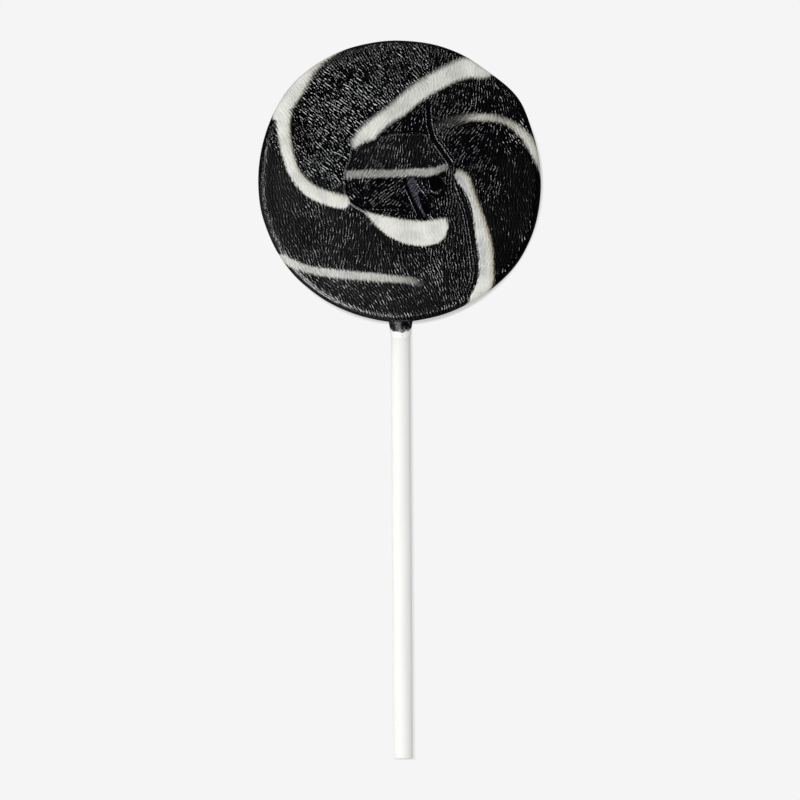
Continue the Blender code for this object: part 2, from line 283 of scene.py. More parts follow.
@dataclass(frozen=True)
class SkinGrid:
    """A closed net of small quads over the whole disc, with no pole on either face.

    Each face is a square net bent into a circle, and rings of quads go round the rim between
    them. A strip of triangles joins the rings to the coarser net of the back.
    """

    face_cells: int = 232
    rim_rows: int = 28
    back_cells: int = 128
    grading: float = 1.2

    def _square(self, cells: int) -> tuple[np.ndarray, np.ndarray]:
        """Bend a square net into a circle, square ring by square ring.

        A point keeps its larger coordinate as its radius, and the smaller one, as a share of the
        larger, sets its angle within the quarter.

        Args:
            cells: Quads along a side.

        Returns:
            Angle and radius from 0 to 1 of every net point, row by row.
        """
        line = np.linspace(-1.0, 1.0, cells + 1)
        u, v = np.meshgrid(line, line)
        wide = np.abs(u) >= np.abs(v)
        radius = np.where(wide, u, v)
        share = np.where(wide, v, u) / np.where(radius == 0.0, 1.0, radius)
        quarter = math.pi / 4.0
        angle = np.where(wide, quarter * share, math.pi / 2.0 - quarter * share)
        angle = np.where(radius < 0.0, angle + math.pi, angle)
        angle = np.where(radius == 0.0, 0.0, angle)
        return angle.ravel(), np.abs(radius).ravel()

    def _border(self, cells: int) -> np.ndarray:
        """List the net's border points once round, anticlockwise from the middle of the right side."""
        side = np.arange(cells + 1)
        index = np.arange((cells + 1) ** 2).reshape(cells + 1, cells + 1)
        right, top = index[side[:-1], cells], index[cells, side[:0:-1]]
        left, bottom = index[side[:0:-1], 0], index[0, side[:-1]]
        return np.roll(np.concatenate((right, top, left, bottom)), -(cells // 2))

    def _quads(self, cells: int) -> np.ndarray:
        """List the quads of a square net, anticlockwise seen from above."""
        index = np.arange((cells + 1) ** 2).reshape(cells + 1, cells + 1)
        corners = (index[:-1, :-1], index[:-1, 1:], index[1:, 1:], index[1:, :-1])
        return np.stack([corner.ravel() for corner in corners], axis=-1)

    def build(self, shape: DiscShape) -> tuple[np.ndarray, np.ndarray, np.ndarray, np.ndarray]:
        """Lay the net over the disc.

        Args:
            shape: The disc.

        Returns:
            Angle and travel of every point, the quads, and the triangles of the joining strip.
        """
        edge, full = shape.face_edge(), shape.full_travel()
        angle_front, radius_front = self._square(self.face_cells)
        angle_back, radius_back = self._square(self.back_cells)
        border_front, border_back = self._border(self.face_cells), self._border(self.back_cells)
        around = len(border_front)
        rows = np.arange(1, self.rim_rows + 1)
        row_travel = edge + (full - 2.0 * edge) * rows / (self.rim_rows + 1.0)
        ring_angle = np.tile(np.arange(around) * FULL_TURN / around, self.rim_rows)
        ring_travel = np.repeat(row_travel, around)
        first_ring, first_back = len(angle_front), len(angle_front) + len(ring_angle)
        angle = np.concatenate((angle_front, ring_angle, angle_back))
        front_travel = radius_front**self.grading * edge
        travel = np.concatenate((front_travel, ring_travel, full - radius_back * edge))

        rings = np.vstack((border_front, first_ring + np.arange(len(ring_angle)).reshape(-1, around)))
        onward = np.roll(rings, -1, axis=1)
        rim = np.stack((rings[:-1], rings[1:], onward[1:], onward[:-1]), axis=-1).reshape(-1, 4)
        back = self._quads(self.back_cells)[:, ::-1] + first_back
        quads = np.vstack((self._quads(self.face_cells), rim, back))
        triangles = self._strip(rings[-1], border_back + first_back)
        return angle, travel, quads, triangles

    @staticmethod
    def _strip(upper: np.ndarray, lower: np.ndarray) -> np.ndarray:
        """Join two rings of unlike counts that start at the same angle.

        Each edge of one ring takes the point of the other that has been reached at the edge's
        middle, so the triangles meet without gaps.

        Args:
            upper: Point numbers of the ring nearer the shown face.
            lower: Point numbers of the ring nearer the back.

        Returns:
            The triangles.
        """
        many, few = len(upper), len(lower)
        i, k = np.arange(many), np.arange(few)
        reached_low = np.ceil((i + 0.5) / many * few - 0.5).astype(int) % few
        reached_up = np.floor((k + 0.5) / few * many + 0.5).astype(int) % many
        down = np.stack((upper, lower[reached_low], np.roll(upper, -1)), axis=-1)
        up = np.stack((upper[reached_up], lower, np.roll(lower, -1)), axis=-1)
        return np.vstack((down, up))


@dataclass(frozen=True)
class Closest:
    """What lies nearest on a line to each of many points.

    Attributes:
        distance: Distance to the line in mm.
        side: 1 to the left of the line's run, seen from outside the candy, and -1 to the right.
        place: Position along the line, as a row number with a fraction.
    """

    distance: np.ndarray
    side: np.ndarray
    place: np.ndarray


def closest_on_line(points: np.ndarray, normals: np.ndarray, line: np.ndarray) -> Closest:
    """Find the nearest place on a line of short straight pieces.

    Args:
        points: Rows of x, y and z.
        normals: The surface's normals there.
        line: Rows of x, y and z along the line.

    Returns:
        Distance, side and place for each point.
    """
    best = np.full(len(points), np.inf)
    side = np.ones(len(points))
    place = np.zeros(len(points))
    for number, (start, end) in enumerate(zip(line[:-1], line[1:])):
        run = end - start
        offset = points - start
        share = np.clip(offset @ run / (run @ run + 1e-12), 0.0, 1.0)
        gap = offset - share[:, None] * run
        square = np.einsum("ij,ij->i", gap, gap)
        nearer = square < best
        best[nearer] = square[nearer]
        place[nearer] = number + share[nearer]
        turned = np.cross(run, offset[nearer])
        side[nearer] = np.where(np.einsum("ij,ij->i", turned, normals[nearer]) >= 0.0, 1.0, -1.0)
    return Closest(np.sqrt(best), side, place)


@dataclass(frozen=True)
class Lean:
    """The run of the wrinkles at a place.

    Attributes:
        x: Place in mm.
        y: Place in mm.
        degrees: How far the wrinkles lean to the left of upright.
        relief: How strongly they stand out.
        haze: How dull the gloss is between them.
    """

    x: float
    y: float
    degrees: float
    relief: float
    haze: float


def leans(relief: float, haze: float, *places: tuple[float, float, float]) -> list[Lean]:
    """List places with one relief and one haze."""
    return [Lean(x, y, degrees, relief, haze) for x, y, degrees in places]


@dataclass
class WrinkleField:
    """The wrinkles of a pressed face, as square sheets of values over it.

    Noise is smeared along the wrinkles' run, and only the waves near one length are kept: what a
    blur by the band's first share of that length leaves and one by its second share removes.
    """

    seed: int
    half_side: float = 34.0
    cell: float = 0.11
    wave: float = 0.85
    band: tuple[float, float] = (0.16, 0.36)
    smear_length: float = 1.9
    spread: float = 2.4
    sheets: dict[str, np.ndarray] = field(default_factory=dict)

    def axes(self) -> tuple[np.ndarray, np.ndarray]:
        """Give the x and y of every cell."""
        line = np.arange(-self.half_side, self.half_side, self.cell)
        return np.meshgrid(line, line)

    def _blend_guides(self, guides: dict[Patch, list[Lean]], patch: np.ndarray) -> None:
        """Blend the guides into a run, a relief and a haze for every cell.

        The run is the mean of the guides' directions, each as a vector of twice its angle, and
        weighted by a bell curve of its distance.

        Args:
            guides: The guides of each patch.
            patch: The patch that each cell is in.
        """
        x, y = self.axes()
        for name in ("cosine", "sine", "relief", "haze"):
            self.sheets[name] = np.zeros_like(x)
        for kind, places in guides.items():
            here = patch == kind.value
            here_x, here_y = x[here], y[here]
            sums = np.zeros((4, len(here_x)))
            weights = np.full(len(here_x), 1e-9)
            for lean in places:
                square = (here_x - lean.x) ** 2 + (here_y - lean.y) ** 2
                weight = np.exp(-square / (2.0 * self.spread**2)) + 1e-4 / (1.0 + square)
                turn = math.radians(2.0 * lean.degrees)
                values = (math.cos(turn), math.sin(turn), lean.relief, lean.haze)
                sums += weight * np.array(values)[:, None]
                weights += weight
            length = np.maximum(np.hypot(sums[0], sums[1]), 1e-9)
            self.sheets["cosine"][here] = sums[0] / length
            self.sheets["sine"][here] = sums[1] / length
            self.sheets["relief"][here] = sums[2] / weights
            self.sheets["haze"][here] = sums[3] / weights

    def _blur(self, sheet: np.ndarray, width: float) -> np.ndarray:
        """Blur a sheet by a bell curve of a width in mm, through its spectrum."""
        rates = np.fft.fftfreq(sheet.shape[0], self.cell)
        fall = np.exp(-2.0 * (math.pi * width * rates) ** 2)
        return np.fft.ifft2(np.fft.fft2(sheet) * np.outer(fall, fall)).real

    def _band(self, sheet: np.ndarray) -> np.ndarray:
        """Keep the waves near the wrinkles' length, and scale them to a spread of one."""
        fine, broad = (self._blur(sheet, self.wave * share) for share in self.band)
        kept = fine - broad
        return kept / kept.std()

    def _smear(self, sheet: np.ndarray, run_x: np.ndarray, run_y: np.ndarray) -> np.ndarray:
        """Average a sheet along the run, with weights that fall off to both ends.

        Args:
            sheet: The heights.
            run_x: The run's x in every cell.
            run_y: The run's y in every cell.

        Returns:
            The smeared heights.
        """
        side = sheet.shape[0]
        steps = int(self.smear_length / self.cell)
        rows, columns = np.meshgrid(np.arange(side), np.arange(side), indexing="ij")
        total = sheet.copy()
        for sign in (1.0, -1.0):
            at_x, at_y = columns.astype(float), rows.astype(float)
            for step in range(1, steps + 1):
                near_x = np.clip(np.rint(at_x), 0, side - 1).astype(int)
                near_y = np.clip(np.rint(at_y), 0, side - 1).astype(int)
                at_x = np.clip(at_x + sign * run_x[near_y, near_x], 0.0, side - 1.001)
                at_y = np.clip(at_y + sign * run_y[near_y, near_x], 0.0, side - 1.001)
                weight = 0.5 + 0.5 * math.cos(math.pi * step / (steps + 1))
                total += weight * sample_sheet(sheet, at_x, at_y)
        return total

    def form(self, guides: dict[Patch, list[Lean]], patch: np.ndarray) -> None:
        """Make the sheets: the guides' blends, and noise smeared twice and kept to its band.

        Args:
            guides: The guides of each patch.
            patch: The patch that each cell is in.
        """
        self._blend_guides(guides, patch)
        angle = 0.5 * np.arctan2(self.sheets["sine"], self.sheets["cosine"])
        run_x, run_y = -np.sin(angle), np.cos(angle)
        noise = np.random.default_rng(self.seed).standard_normal(run_x.shape)
        streaks = self._band(self._smear(noise, run_x, run_y))
        streaks = self._band(self._smear(np.tanh(streaks * 1.5), run_x, run_y))
        self.sheets["streaks"] = np.tanh(0.9 * streaks)

    def at(self, x: np.ndarray, y: np.ndarray) -> dict[str, np.ndarray]:
        """Read all sheets at places in mm."""
        last = self.sheets["streaks"].shape[0] - 1.001
        column = np.clip((x + self.half_side) / self.cell, 0.0, last)
        row = np.clip((y + self.half_side) / self.cell, 0.0, last)
        return {name: sample_sheet(sheet, column, row) for name, sheet in self.sheets.items()}


def sample_sheet(sheet: np.ndarray, column: np.ndarray, row: np.ndarray) -> np.ndarray:
    """Read a sheet between its cells, as the mean of the four nearest weighted by closeness."""
    left, low = column.astype(int), row.astype(int)
    right, up = left + 1, low + 1
    part_x, part_y = column - left, row - low
    bottom = sheet[low, left] * (1.0 - part_x) + sheet[low, right] * part_x
    top = sheet[up, left] * (1.0 - part_x) + sheet[up, right] * part_x
    return bottom * (1.0 - part_y) + top * part_y


def inside_outline(x: np.ndarray, y: np.ndarray, outline: Sequence[Point]) -> np.ndarray:
    """Tell which places are inside a closed outline: a ray from them crosses it an odd time."""
    inside = np.zeros(x.shape, dtype=bool)
    corners = np.array(outline, dtype=float)
    for (ax, ay), (bx, by) in zip(corners, np.roll(corners, -1, axis=0)):
        if ay == by:
            continue
        spans = (ay > y) != (by > y)
        inside ^= spans & (x < ax + (y - ay) / (by - ay) * (bx - ax))
    return inside


def close_to(points: np.ndarray, line: np.ndarray, reach: float) -> np.ndarray:
    """Number the points inside a line's box, widened by a reach."""
    low, high = line.min(axis=0) - reach, line.max(axis=0) + reach
    return np.flatnonzero(np.all((points > low) & (points < high), axis=1))


def signed_inset(points: np.ndarray, wanted: np.ndarray, outline: Sequence[Point],
                 far: float) -> np.ndarray:
    """Measure how far each place lies inside a closed outline, seen from above.

    Args:
        points: Rows of x, y and z in mm.
        wanted: Which points to measure.
        outline: x and y in mm round it.
        far: Distance in mm past which a point counts as that far outside.

    Returns:
        The distance to the outline in mm, below 0 outside it.
    """
    corners = np.array([(x, y, 0.0) for x, y in (*outline, outline[0])])
    flat = points * (1.0, 1.0, 0.0)
    near = close_to(flat, corners, far)
    near = near[wanted[near]]
    upward = np.tile((0.0, 0.0, 1.0), (len(near), 1))
    distance = closest_on_line(flat[near], upward, corners).distance
    within = inside_outline(flat[near, 0], flat[near, 1], outline)
    inset = np.full(len(points), -far)
    inset[near] = np.where(within, distance, -distance)
    return inset


def rolling(points: np.ndarray, seed: int, wave: float, count: int) -> np.ndarray:
    """Add up plane waves in random directions, for slow unevenness.

    Args:
        points: Rows of x, y and z in mm.
        seed: Seed of the directions and phases.
        wave: Mean wavelength in mm.
        count: How many waves.

    Returns:
        Heights with a spread of about one.
    """
    draw = np.random.default_rng(seed)
    total = np.zeros(len(points))
    for _ in range(count):
        direction = unit(draw.standard_normal(3))
        length = wave * draw.uniform(0.7, 1.5)
        total += np.sin(points @ direction * FULL_TURN / length + draw.uniform(0.0, FULL_TURN))
    return total * math.sqrt(2.0 / count)


class NodeTree:
    """Short calls that add and join shader nodes, on fixed values and on outputs of nodes alike."""

    def __init__(self, tree: bpy.types.NodeTree) -> None:
        """Keep the tree that the nodes go into."""
        self.tree = tree

    def put(self, value: object, slot: bpy.types.NodeSocket) -> None:
        """Link an output to an input, or set the input to a fixed value."""
        if isinstance(value, bpy.types.NodeSocket):
            self.tree.links.new(value, slot)
        else:
            slot.default_value = value

    def feed(self, node: bpy.types.Node, **values: object) -> None:
        """Put values into a node's inputs by name, with _ for a space."""
        for name, value in values.items():
            self.put(value, node.inputs[name.replace("_", " ")])

    def add(self, kind: str, **values: object) -> bpy.types.Node:
        """Add a node, and set its properties and inputs by name.

        Args:
            kind: The node's type name.
            values: Properties, or inputs where the name matches no property.

        Returns:
            The node.
        """
        node = self.tree.nodes.new(kind)
        for name, value in values.items():
            if hasattr(node, name):
                setattr(node, name, value)
            else:
                self.feed(node, **{name: value})
        return node

    def place(self) -> bpy.types.NodeSocket:
        """Give the place on the object."""
        return self.add("ShaderNodeTexCoord").outputs["Object"]

    def carried(self, name: str, output: str = "Fac") -> bpy.types.NodeSocket:
        """Give what the mesh carries under an attribute's name."""
        return self.add("ShaderNodeAttribute", attribute_name=name).outputs[output]

    def split(self, vector: bpy.types.NodeSocket) -> bpy.types.bpy_prop_collection:
        """Give the X, Y and Z of a vector."""
        return self.add("ShaderNodeSeparateXYZ", Vector=vector).outputs

    def noise(self, vector: bpy.types.NodeSocket, **values: object) -> bpy.types.bpy_prop_collection:
        """Give the outputs of a noise texture over a vector."""
        return self.add("ShaderNodeTexNoise", Vector=vector, **values).outputs

    def maths(self, operation: str, *terms: object, clamp: bool = False) -> bpy.types.NodeSocket:
        """Work on numbers with a Math node."""
        node = self.add("ShaderNodeMath", operation=operation, use_clamp=clamp)
        for term, slot in zip(terms, node.inputs):
            self.put(term, slot)
        return node.outputs[0]

    def plus(self, first: object, second: object) -> bpy.types.NodeSocket:
        """Add two numbers."""
        return self.maths("ADD", first, second)

    def times(self, first: object, second: object, clamp: bool = False) -> bpy.types.NodeSocket:
        """Multiply two numbers."""
        return self.maths("MULTIPLY", first, second, clamp=clamp)

    def vectors(self, operation: str, *terms: object) -> bpy.types.NodeSocket:
        """Work on vectors with a Vector Math node."""
        node = self.add("ShaderNodeVectorMath", operation=operation)
        for term, slot in zip(terms, node.inputs):
            self.put(term, slot)
        return node.outputs[0]

    def blend(self, share: object, first: object, second: object) -> bpy.types.NodeSocket:
        """Mix two colours by a share."""
        node = self.add("ShaderNodeMix", data_type="RGBA")
        slots = {slot.name: slot for slot in node.inputs if slot.enabled}
        for name, term in (("Factor", share), ("A", first), ("B", second)):
            self.put(term, slots[name])
        return next(slot for slot in node.outputs if slot.enabled)

    def span(self, value: bpy.types.NodeSocket, low: float, high: float, to_low: float = 0.0,
             to_high: float = 1.0) -> bpy.types.NodeSocket:
        """Map a value smoothly from one range to another, held at its ends."""
        node = self.add("ShaderNodeMapRange", interpolation_type="SMOOTHSTEP", Value=value, From_Min=low,
                        From_Max=high, To_Min=to_low, To_Max=to_high)
        return node.outputs["Result"]

    def bump(self, shader: bpy.types.Node, height: bpy.types.NodeSocket, distance: float) -> None:
        """Raise a shader's surface by a height times a distance in metres."""
        node = self.add("ShaderNodeBump", Height=height, Distance=distance)
        self.feed(shader, Normal=node.outputs["Normal"])


def new_group(name: str, inputs: dict[str, float], outputs: Sequence[str]
              ) -> tuple[bpy.types.NodeTree, NodeTree, bpy.types.bpy_prop_collection, bpy.types.Node]:
    """Start a shader node group whose inputs and outputs are all numbers.

    Args:
        name: The group's name.
        inputs: Each input's default by its name.
        outputs: The outputs' names.

    Returns:
        The group, its node calls, the values that it is given, and the node that takes its results.
    """
    group = bpy.data.node_groups.new(name, "ShaderNodeTree")
    for label, default in inputs.items():
        socket = group.interface.new_socket(label, in_out="INPUT", socket_type="NodeSocketFloat")
        socket.default_value = default
    for label in outputs:
        group.interface.new_socket(label, in_out="OUTPUT", socket_type="NodeSocketFloat")
    nodes = NodeTree(group)
    return group, nodes, nodes.add("NodeGroupInput").outputs, nodes.add("NodeGroupOutput")


def grain_group() -> bpy.types.NodeTree:
    """Build the grain that candy and paper share: two sizes of noise on the object.

    Returns:
        A group that puts out a height and a mottle, both from 0 to 1.
    """
    group, nodes, given, result = new_group(
        "Surface grain", {"Fine scale": 2500.0, "Broad scale": 150.0, "Stretch": 1.0}, ("Height", "Mottle")
    )
    along = nodes.add("ShaderNodeCombineXYZ", X=1.0, Y=given["Stretch"], Z=1.0)
    stretched = nodes.vectors("MULTIPLY", nodes.place(), along.outputs["Vector"])
    for scale, detail, output in (("Fine scale", 3.0, "Height"), ("Broad scale", 4.0, "Mottle")):
        noise = nodes.noise(stretched, Scale=given[scale], Detail=detail, Roughness=0.55)
        nodes.put(noise["Fac"], result.inputs[output])
    return group


def wrinkle_group() -> bpy.types.NodeTree:
    """Build the finest wrinkles and creases, too fine for the mesh.

    Two Gabor textures follow the run that the mesh carries as the cosine and sine of twice its
    lean. The crease is a bell curve of the distance to the nearest fold, which the mesh carries in
    mm, and cosine ripples run beside it.

    Returns:
        A group that puts out a height in mm and the streaks alone with a spread of about one.
    """
    group, nodes, given, result = new_group(
        "Pressed wrinkles",
        {"Long scale": 930.0, "Short scale": 1000.0, "Long height": 0.020, "Short height": 0.009,
         "Ripple wave": 0.68},
        ("Height", "Streak"),
    )
    chart = nodes.carried("chart", "Vector")
    run = nodes.split(nodes.carried("run", "Vector"))
    lean = nodes.times(nodes.maths("ARCTAN2", run["Y"], run["X"]), 0.5)
    wander = nodes.noise(chart, Scale=700.0, Detail=1.0)["Color"]
    wander = nodes.vectors("SUBTRACT", wander, (0.5, 0.5, 0.5))
    moved = nodes.vectors("MULTIPLY_ADD", wander, (0.0004, 0.0004, 0.0), chart)
    streaks = []
    for scale, frequency, anisotropy in (("Long scale", 1.55, 0.9), ("Short scale", 1.8, 0.7)):
        gabor = nodes.add("ShaderNodeTexGabor", Vector=moved, Scale=given[scale], Frequency=frequency,
                          Anisotropy=anisotropy)
        nodes.put(lean, next(slot for slot in gabor.inputs if slot.name == "Orientation" and slot.enabled))
        streaks.append(nodes.times(nodes.maths("SUBTRACT", gabor.outputs["Value"], 0.5), 12.0))
    long_part = nodes.times(streaks[0], given["Long height"])
    short_part = nodes.times(streaks[1], given["Short height"])
    patchy = nodes.noise(chart, Scale=320.0, Detail=1.0)["Fac"]
    wrinkles = nodes.times(nodes.plus(long_part, short_part), run["Z"])
    wrinkles = nodes.times(wrinkles, nodes.span(patchy, 0.3, 0.7, 0.85, 1.15))

    depth, ripples, width = nodes.split(nodes.carried("fold_form", "Vector"))
    away = nodes.plus(nodes.carried("fold_away"), nodes.times(streaks[1], 0.03))
    square = nodes.maths("POWER", nodes.maths("DIVIDE", nodes.maths("ABSOLUTE", away), width), 2.0)
    crease = nodes.times(nodes.maths("EXPONENT", nodes.times(square, -1.0)), nodes.times(depth, -1.0))
    phase = nodes.maths("DIVIDE", nodes.times(away, FULL_TURN), given["Ripple wave"])
    folds = nodes.plus(crease, nodes.times(nodes.maths("COSINE", phase), ripples))
    streak = nodes.plus(nodes.times(streaks[0], 0.7), nodes.times(streaks[1], 0.5))
    nodes.feed(result, Height=nodes.plus(wrinkles, folds), Streak=streak)
    return group


def strand_group() -> bpy.types.NodeTree:
    """Build the mask of the white strands from what the candy's mesh carries.

    The edge is where the distance, moved by the wrinkles and by fine noise, passes 0.

    Returns:
        A group that puts out the whiteness and the closeness to an edge.
    """
    group, nodes, given, result = new_group(
        "Strand mask", {"Streak": 0.0, "Fray": 0.2, "Speckle": 0.5}, ("White", "Edge")
    )
    noise = nodes.noise(nodes.place(), Scale=1300.0, Detail=3.0, Roughness=0.65)
    fine = nodes.maths("SUBTRACT", noise["Fac"], 0.5)
    frayed = nodes.times(given["Fray"], given["Streak"])
    moved = nodes.plus(nodes.plus(nodes.carried("strand_inset"), frayed), nodes.times(fine, 0.8))
    share = nodes.maths("DIVIDE", moved, nodes.carried("strand_blur"))
    amount = nodes.carried("strand_white")
    thin = nodes.times(nodes.maths("SUBTRACT", 1.0, amount), given["Speckle"])
    grit = nodes.maths("MULTIPLY_ADD", given["Streak"], 0.25, nodes.times(fine, 5.0))
    speckled = nodes.maths("MULTIPLY_ADD", nodes.times(grit, thin), amount, amount, clamp=True)
    edge = nodes.span(nodes.maths("ABSOLUTE", share), 0.0, 2.6, 1.0, 0.0)
    nodes.feed(result, White=nodes.times(nodes.span(share, -1.0, 1.0), speckled), Edge=edge)
    return group


def new_material(name: str) -> tuple[bpy.types.Material, NodeTree, bpy.types.Node]:
    """Start a material, and give it, its node calls and its Principled shader."""
    material = bpy.data.materials.new(name)
    material.use_nodes = True
    return material, NodeTree(material.node_tree), material.node_tree.nodes["Principled BSDF"]


@dataclass(frozen=True)
class CandyFinish:
    """Boiled sugar, black with white strands: colours, gloss and the finest relief."""

    black: Colour = (0.0007, 0.0007, 0.0012, 1.0)
    film: Colour = (0.075, 0.076, 0.098, 1.0)
    cold: Colour = (0.30, 0.31, 0.36, 1.0)
    cream: Colour = (0.36, 0.33, 0.22, 1.0)
    white: Colour = (0.665, 0.665, 0.616, 1.0)
    # Painted shade of the white in the wrinkles' troughs, and also the darker end of its random mottle.
    shaded_and_mottled_white: Colour = (0.43, 0.43, 0.405, 1.0)
    roughness_glossy: float = 0.12
    roughness_hazy: float = 0.24
    roughness_white: float = 0.5
    mottled_roughness: float = 0.1
    reflection: float = 0.8
    white_calm: float = 0.7
    fray: float = 0.07
    grain_height: float = 0.0025

    def material(self, grain: bpy.types.NodeTree, wrinkles: bpy.types.NodeTree,
                 strands: bpy.types.NodeTree) -> bpy.types.Material:
        """Build the material.

        Args:
            grain: The grain group.
            wrinkles: The wrinkle group.
            strands: The strand mask group.

        Returns:
            The material.
        """
        material, nodes, shader = new_material("pressed_candy")
        pressed = nodes.add("ShaderNodeGroup", node_tree=wrinkles).outputs
        streak = pressed["Streak"]
        strand = nodes.add("ShaderNodeGroup", node_tree=strands, Fray=self.fray, Streak=streak).outputs
        white = strand["White"]
        texture = nodes.add("ShaderNodeGroup", node_tree=grain, Fine_scale=2600.0,
                            Broad_scale=260.0).outputs
        mottle = texture["Mottle"]

        # The white darkens where the streak that sets the bump's height is low, which is painted shade in
        # the wrinkles' troughs; the patchy share is the sugar's own random mottle.
        trough_shade = nodes.times(nodes.span(streak, 0.8, -1.8), 0.42)
        patchy = nodes.times(nodes.span(mottle, 0.4, 0.66), 0.55)
        body = nodes.blend(nodes.plus(trough_shade, patchy), self.white, self.shaded_and_mottled_white)
        tint = nodes.carried("strand_tint")
        creamy = nodes.times(nodes.maths("MAXIMUM", tint, 0.0), strand["Edge"], clamp=True)
        body = nodes.blend(creamy, body, self.cream)
        chilly = nodes.times(nodes.times(tint, -1.0, clamp=True), nodes.span(mottle, 0.4, 0.62), clamp=True)
        body = nodes.blend(chilly, body, self.cold)
        veil = nodes.times(nodes.carried("mist"), nodes.span(streak, -1.0, 1.5, 0.1, 1.0), clamp=True)
        dark = nodes.blend(veil, self.black, self.film)

        spread = self.roughness_hazy - self.roughness_glossy
        lowest = self.roughness_glossy - self.mottled_roughness / 2.0
        rough = nodes.maths("MULTIPLY_ADD", nodes.carried("haze"), spread, lowest)
        rough = nodes.maths("MULTIPLY_ADD", mottle, self.mottled_roughness, rough)
        lift = nodes.maths("SUBTRACT", self.roughness_white, rough)
        rough = nodes.maths("MULTIPLY_ADD", white, lift, rough)
        kept = nodes.maths("MULTIPLY_ADD", white, -self.white_calm, 1.0)
        wrinkled = nodes.times(pressed["Height"], kept)
        height = nodes.maths("MULTIPLY_ADD", texture["Height"], self.grain_height, wrinkled)
        nodes.bump(shader, height, MM)
        nodes.feed(shader, Base_Color=nodes.blend(white, dark, body), Roughness=rough,
                   Specular_IOR_Level=self.reflection)
        return material


@dataclass(frozen=True)
class PaperFinish:
    """Smooth white rolled paper with a faint fibre grain along it."""

    light: Colour = (0.77, 0.77, 0.752, 1.0)
    dull: Colour = (0.74, 0.74, 0.722, 1.0)
    roughness: float = 0.6
    fibre_height: float = 0.02

    def material(self, grain: bpy.types.NodeTree) -> bpy.types.Material:
        """Build the material from the grain group, stretched along the stick."""
        material, nodes, shader = new_material("rolled_paper")
        texture = nodes.add("ShaderNodeGroup", node_tree=grain, Fine_scale=2200.0, Broad_scale=420.0,
                            Stretch=0.12).outputs
        colour = nodes.blend(nodes.span(texture["Mottle"], 0.3, 0.75), self.light, self.dull)
        nodes.feed(shader, Base_Color=colour, Roughness=self.roughness)
        nodes.bump(shader, texture["Height"], self.fibre_height * MM)
        return material


@dataclass(frozen=True)
class CollarFinish:
    """The glossy bead of black candy round the stick, thinning out into a clear glaze."""

    black: Colour = (0.003, 0.003, 0.004, 1.0)
    grey: Colour = (0.18, 0.18, 0.175, 1.0)
    glaze: Colour = (0.86, 0.86, 0.83, 1.0)
    roughness: float = 0.22
    speckle: float = 1.7
    bump_height: float = 0.2

    def material(self, grain: bpy.types.NodeTree) -> bpy.types.Material:
        """Build the material: black, a speckled change and glaze as the collar thins out."""
        material, nodes, shader = new_material("collar_candy")
        mottle = nodes.add("ShaderNodeGroup", node_tree=grain, Fine_scale=1500.0,
                           Broad_scale=1300.0).outputs["Mottle"]
        speckle = nodes.times(nodes.maths("SUBTRACT", mottle, 0.5), self.speckle)
        share = nodes.plus(nodes.carried("thinning"), speckle)
        dark = nodes.blend(nodes.span(share, 0.05, 0.5), self.black, self.grey)
        colour = nodes.blend(nodes.span(share, 0.45, 0.75), dark, self.glaze)
        nodes.feed(shader, Base_Color=colour, Roughness=self.roughness)
        nodes.bump(shader, mottle, self.bump_height * MM)
        return material


def new_object(name: str, data: bpy.types.ID) -> bpy.types.Object:
    """Make an object of its data and link it to the scene."""
    obj = bpy.data.objects.new(name, data)
    bpy.context.scene.collection.objects.link(obj)
    return obj


def make_mesh(name: str, material: bpy.types.Material, points: np.ndarray, *polygons: np.ndarray
              ) -> bpy.types.Object:
    """Put a surface worked out in mm into a smooth-shaded mesh object at the origin.

    Args:
        name: The object's name.
        material: Its material.
        points: Rows of x, y and z in mm.
        polygons: Arrays of faces, each with one number of corners.

    Returns:
        The object, linked to the scene.
    """
    mesh = bpy.data.meshes.new(name)
    corners = np.concatenate([block.ravel() for block in polygons]).astype(np.int32)
    sizes = np.concatenate([np.full(len(block), block.shape[1]) for block in polygons])
    starts = np.concatenate(([0], np.cumsum(sizes)[:-1])).astype(np.int32)
    mesh.vertices.add(len(points))
    mesh.vertices.foreach_set("co", (points * MM).astype(np.float32).ravel())
    mesh.loops.add(len(corners))
    mesh.loops.foreach_set("vertex_index", corners)
    mesh.polygons.add(len(sizes))
    mesh.polygons.foreach_set("loop_start", starts)
    mesh.update(calc_edges=True)
    mesh.shade_smooth()
    mesh.validate()
    mesh.materials.append(material)
    return new_object(name, mesh)


def set_attribute(obj: bpy.types.Object, name: str, values: np.ndarray) -> None:
    """Store one number, or one row of three, for each point of a mesh."""
    if values.ndim == 1:
        attribute = obj.data.attributes.new(name, "FLOAT", "POINT")
        attribute.data.foreach_set("value", values.astype(np.float32))
    else:
        attribute = obj.data.attributes.new(name, "FLOAT_VECTOR", "POINT")
        attribute.data.foreach_set("vector", values.astype(np.float32).ravel())


def turned_rings(rings: np.ndarray, closed: bool) -> np.ndarray:
    """List the quads between rings of points, given as a grid of point numbers.

    Args:
        rings: A row of point numbers for each ring.
        closed: Whether the last ring joins the first.

    Returns:
        The quads.
    """
    after = np.roll(rings, -1, axis=0) if closed else rings[1:]
    before = rings if closed else rings[:-1]
    quads = np.stack((before, after, np.roll(after, -1, axis=1), np.roll(before, -1, axis=1)), axis=-1)
    return quads.reshape(-1, 4)


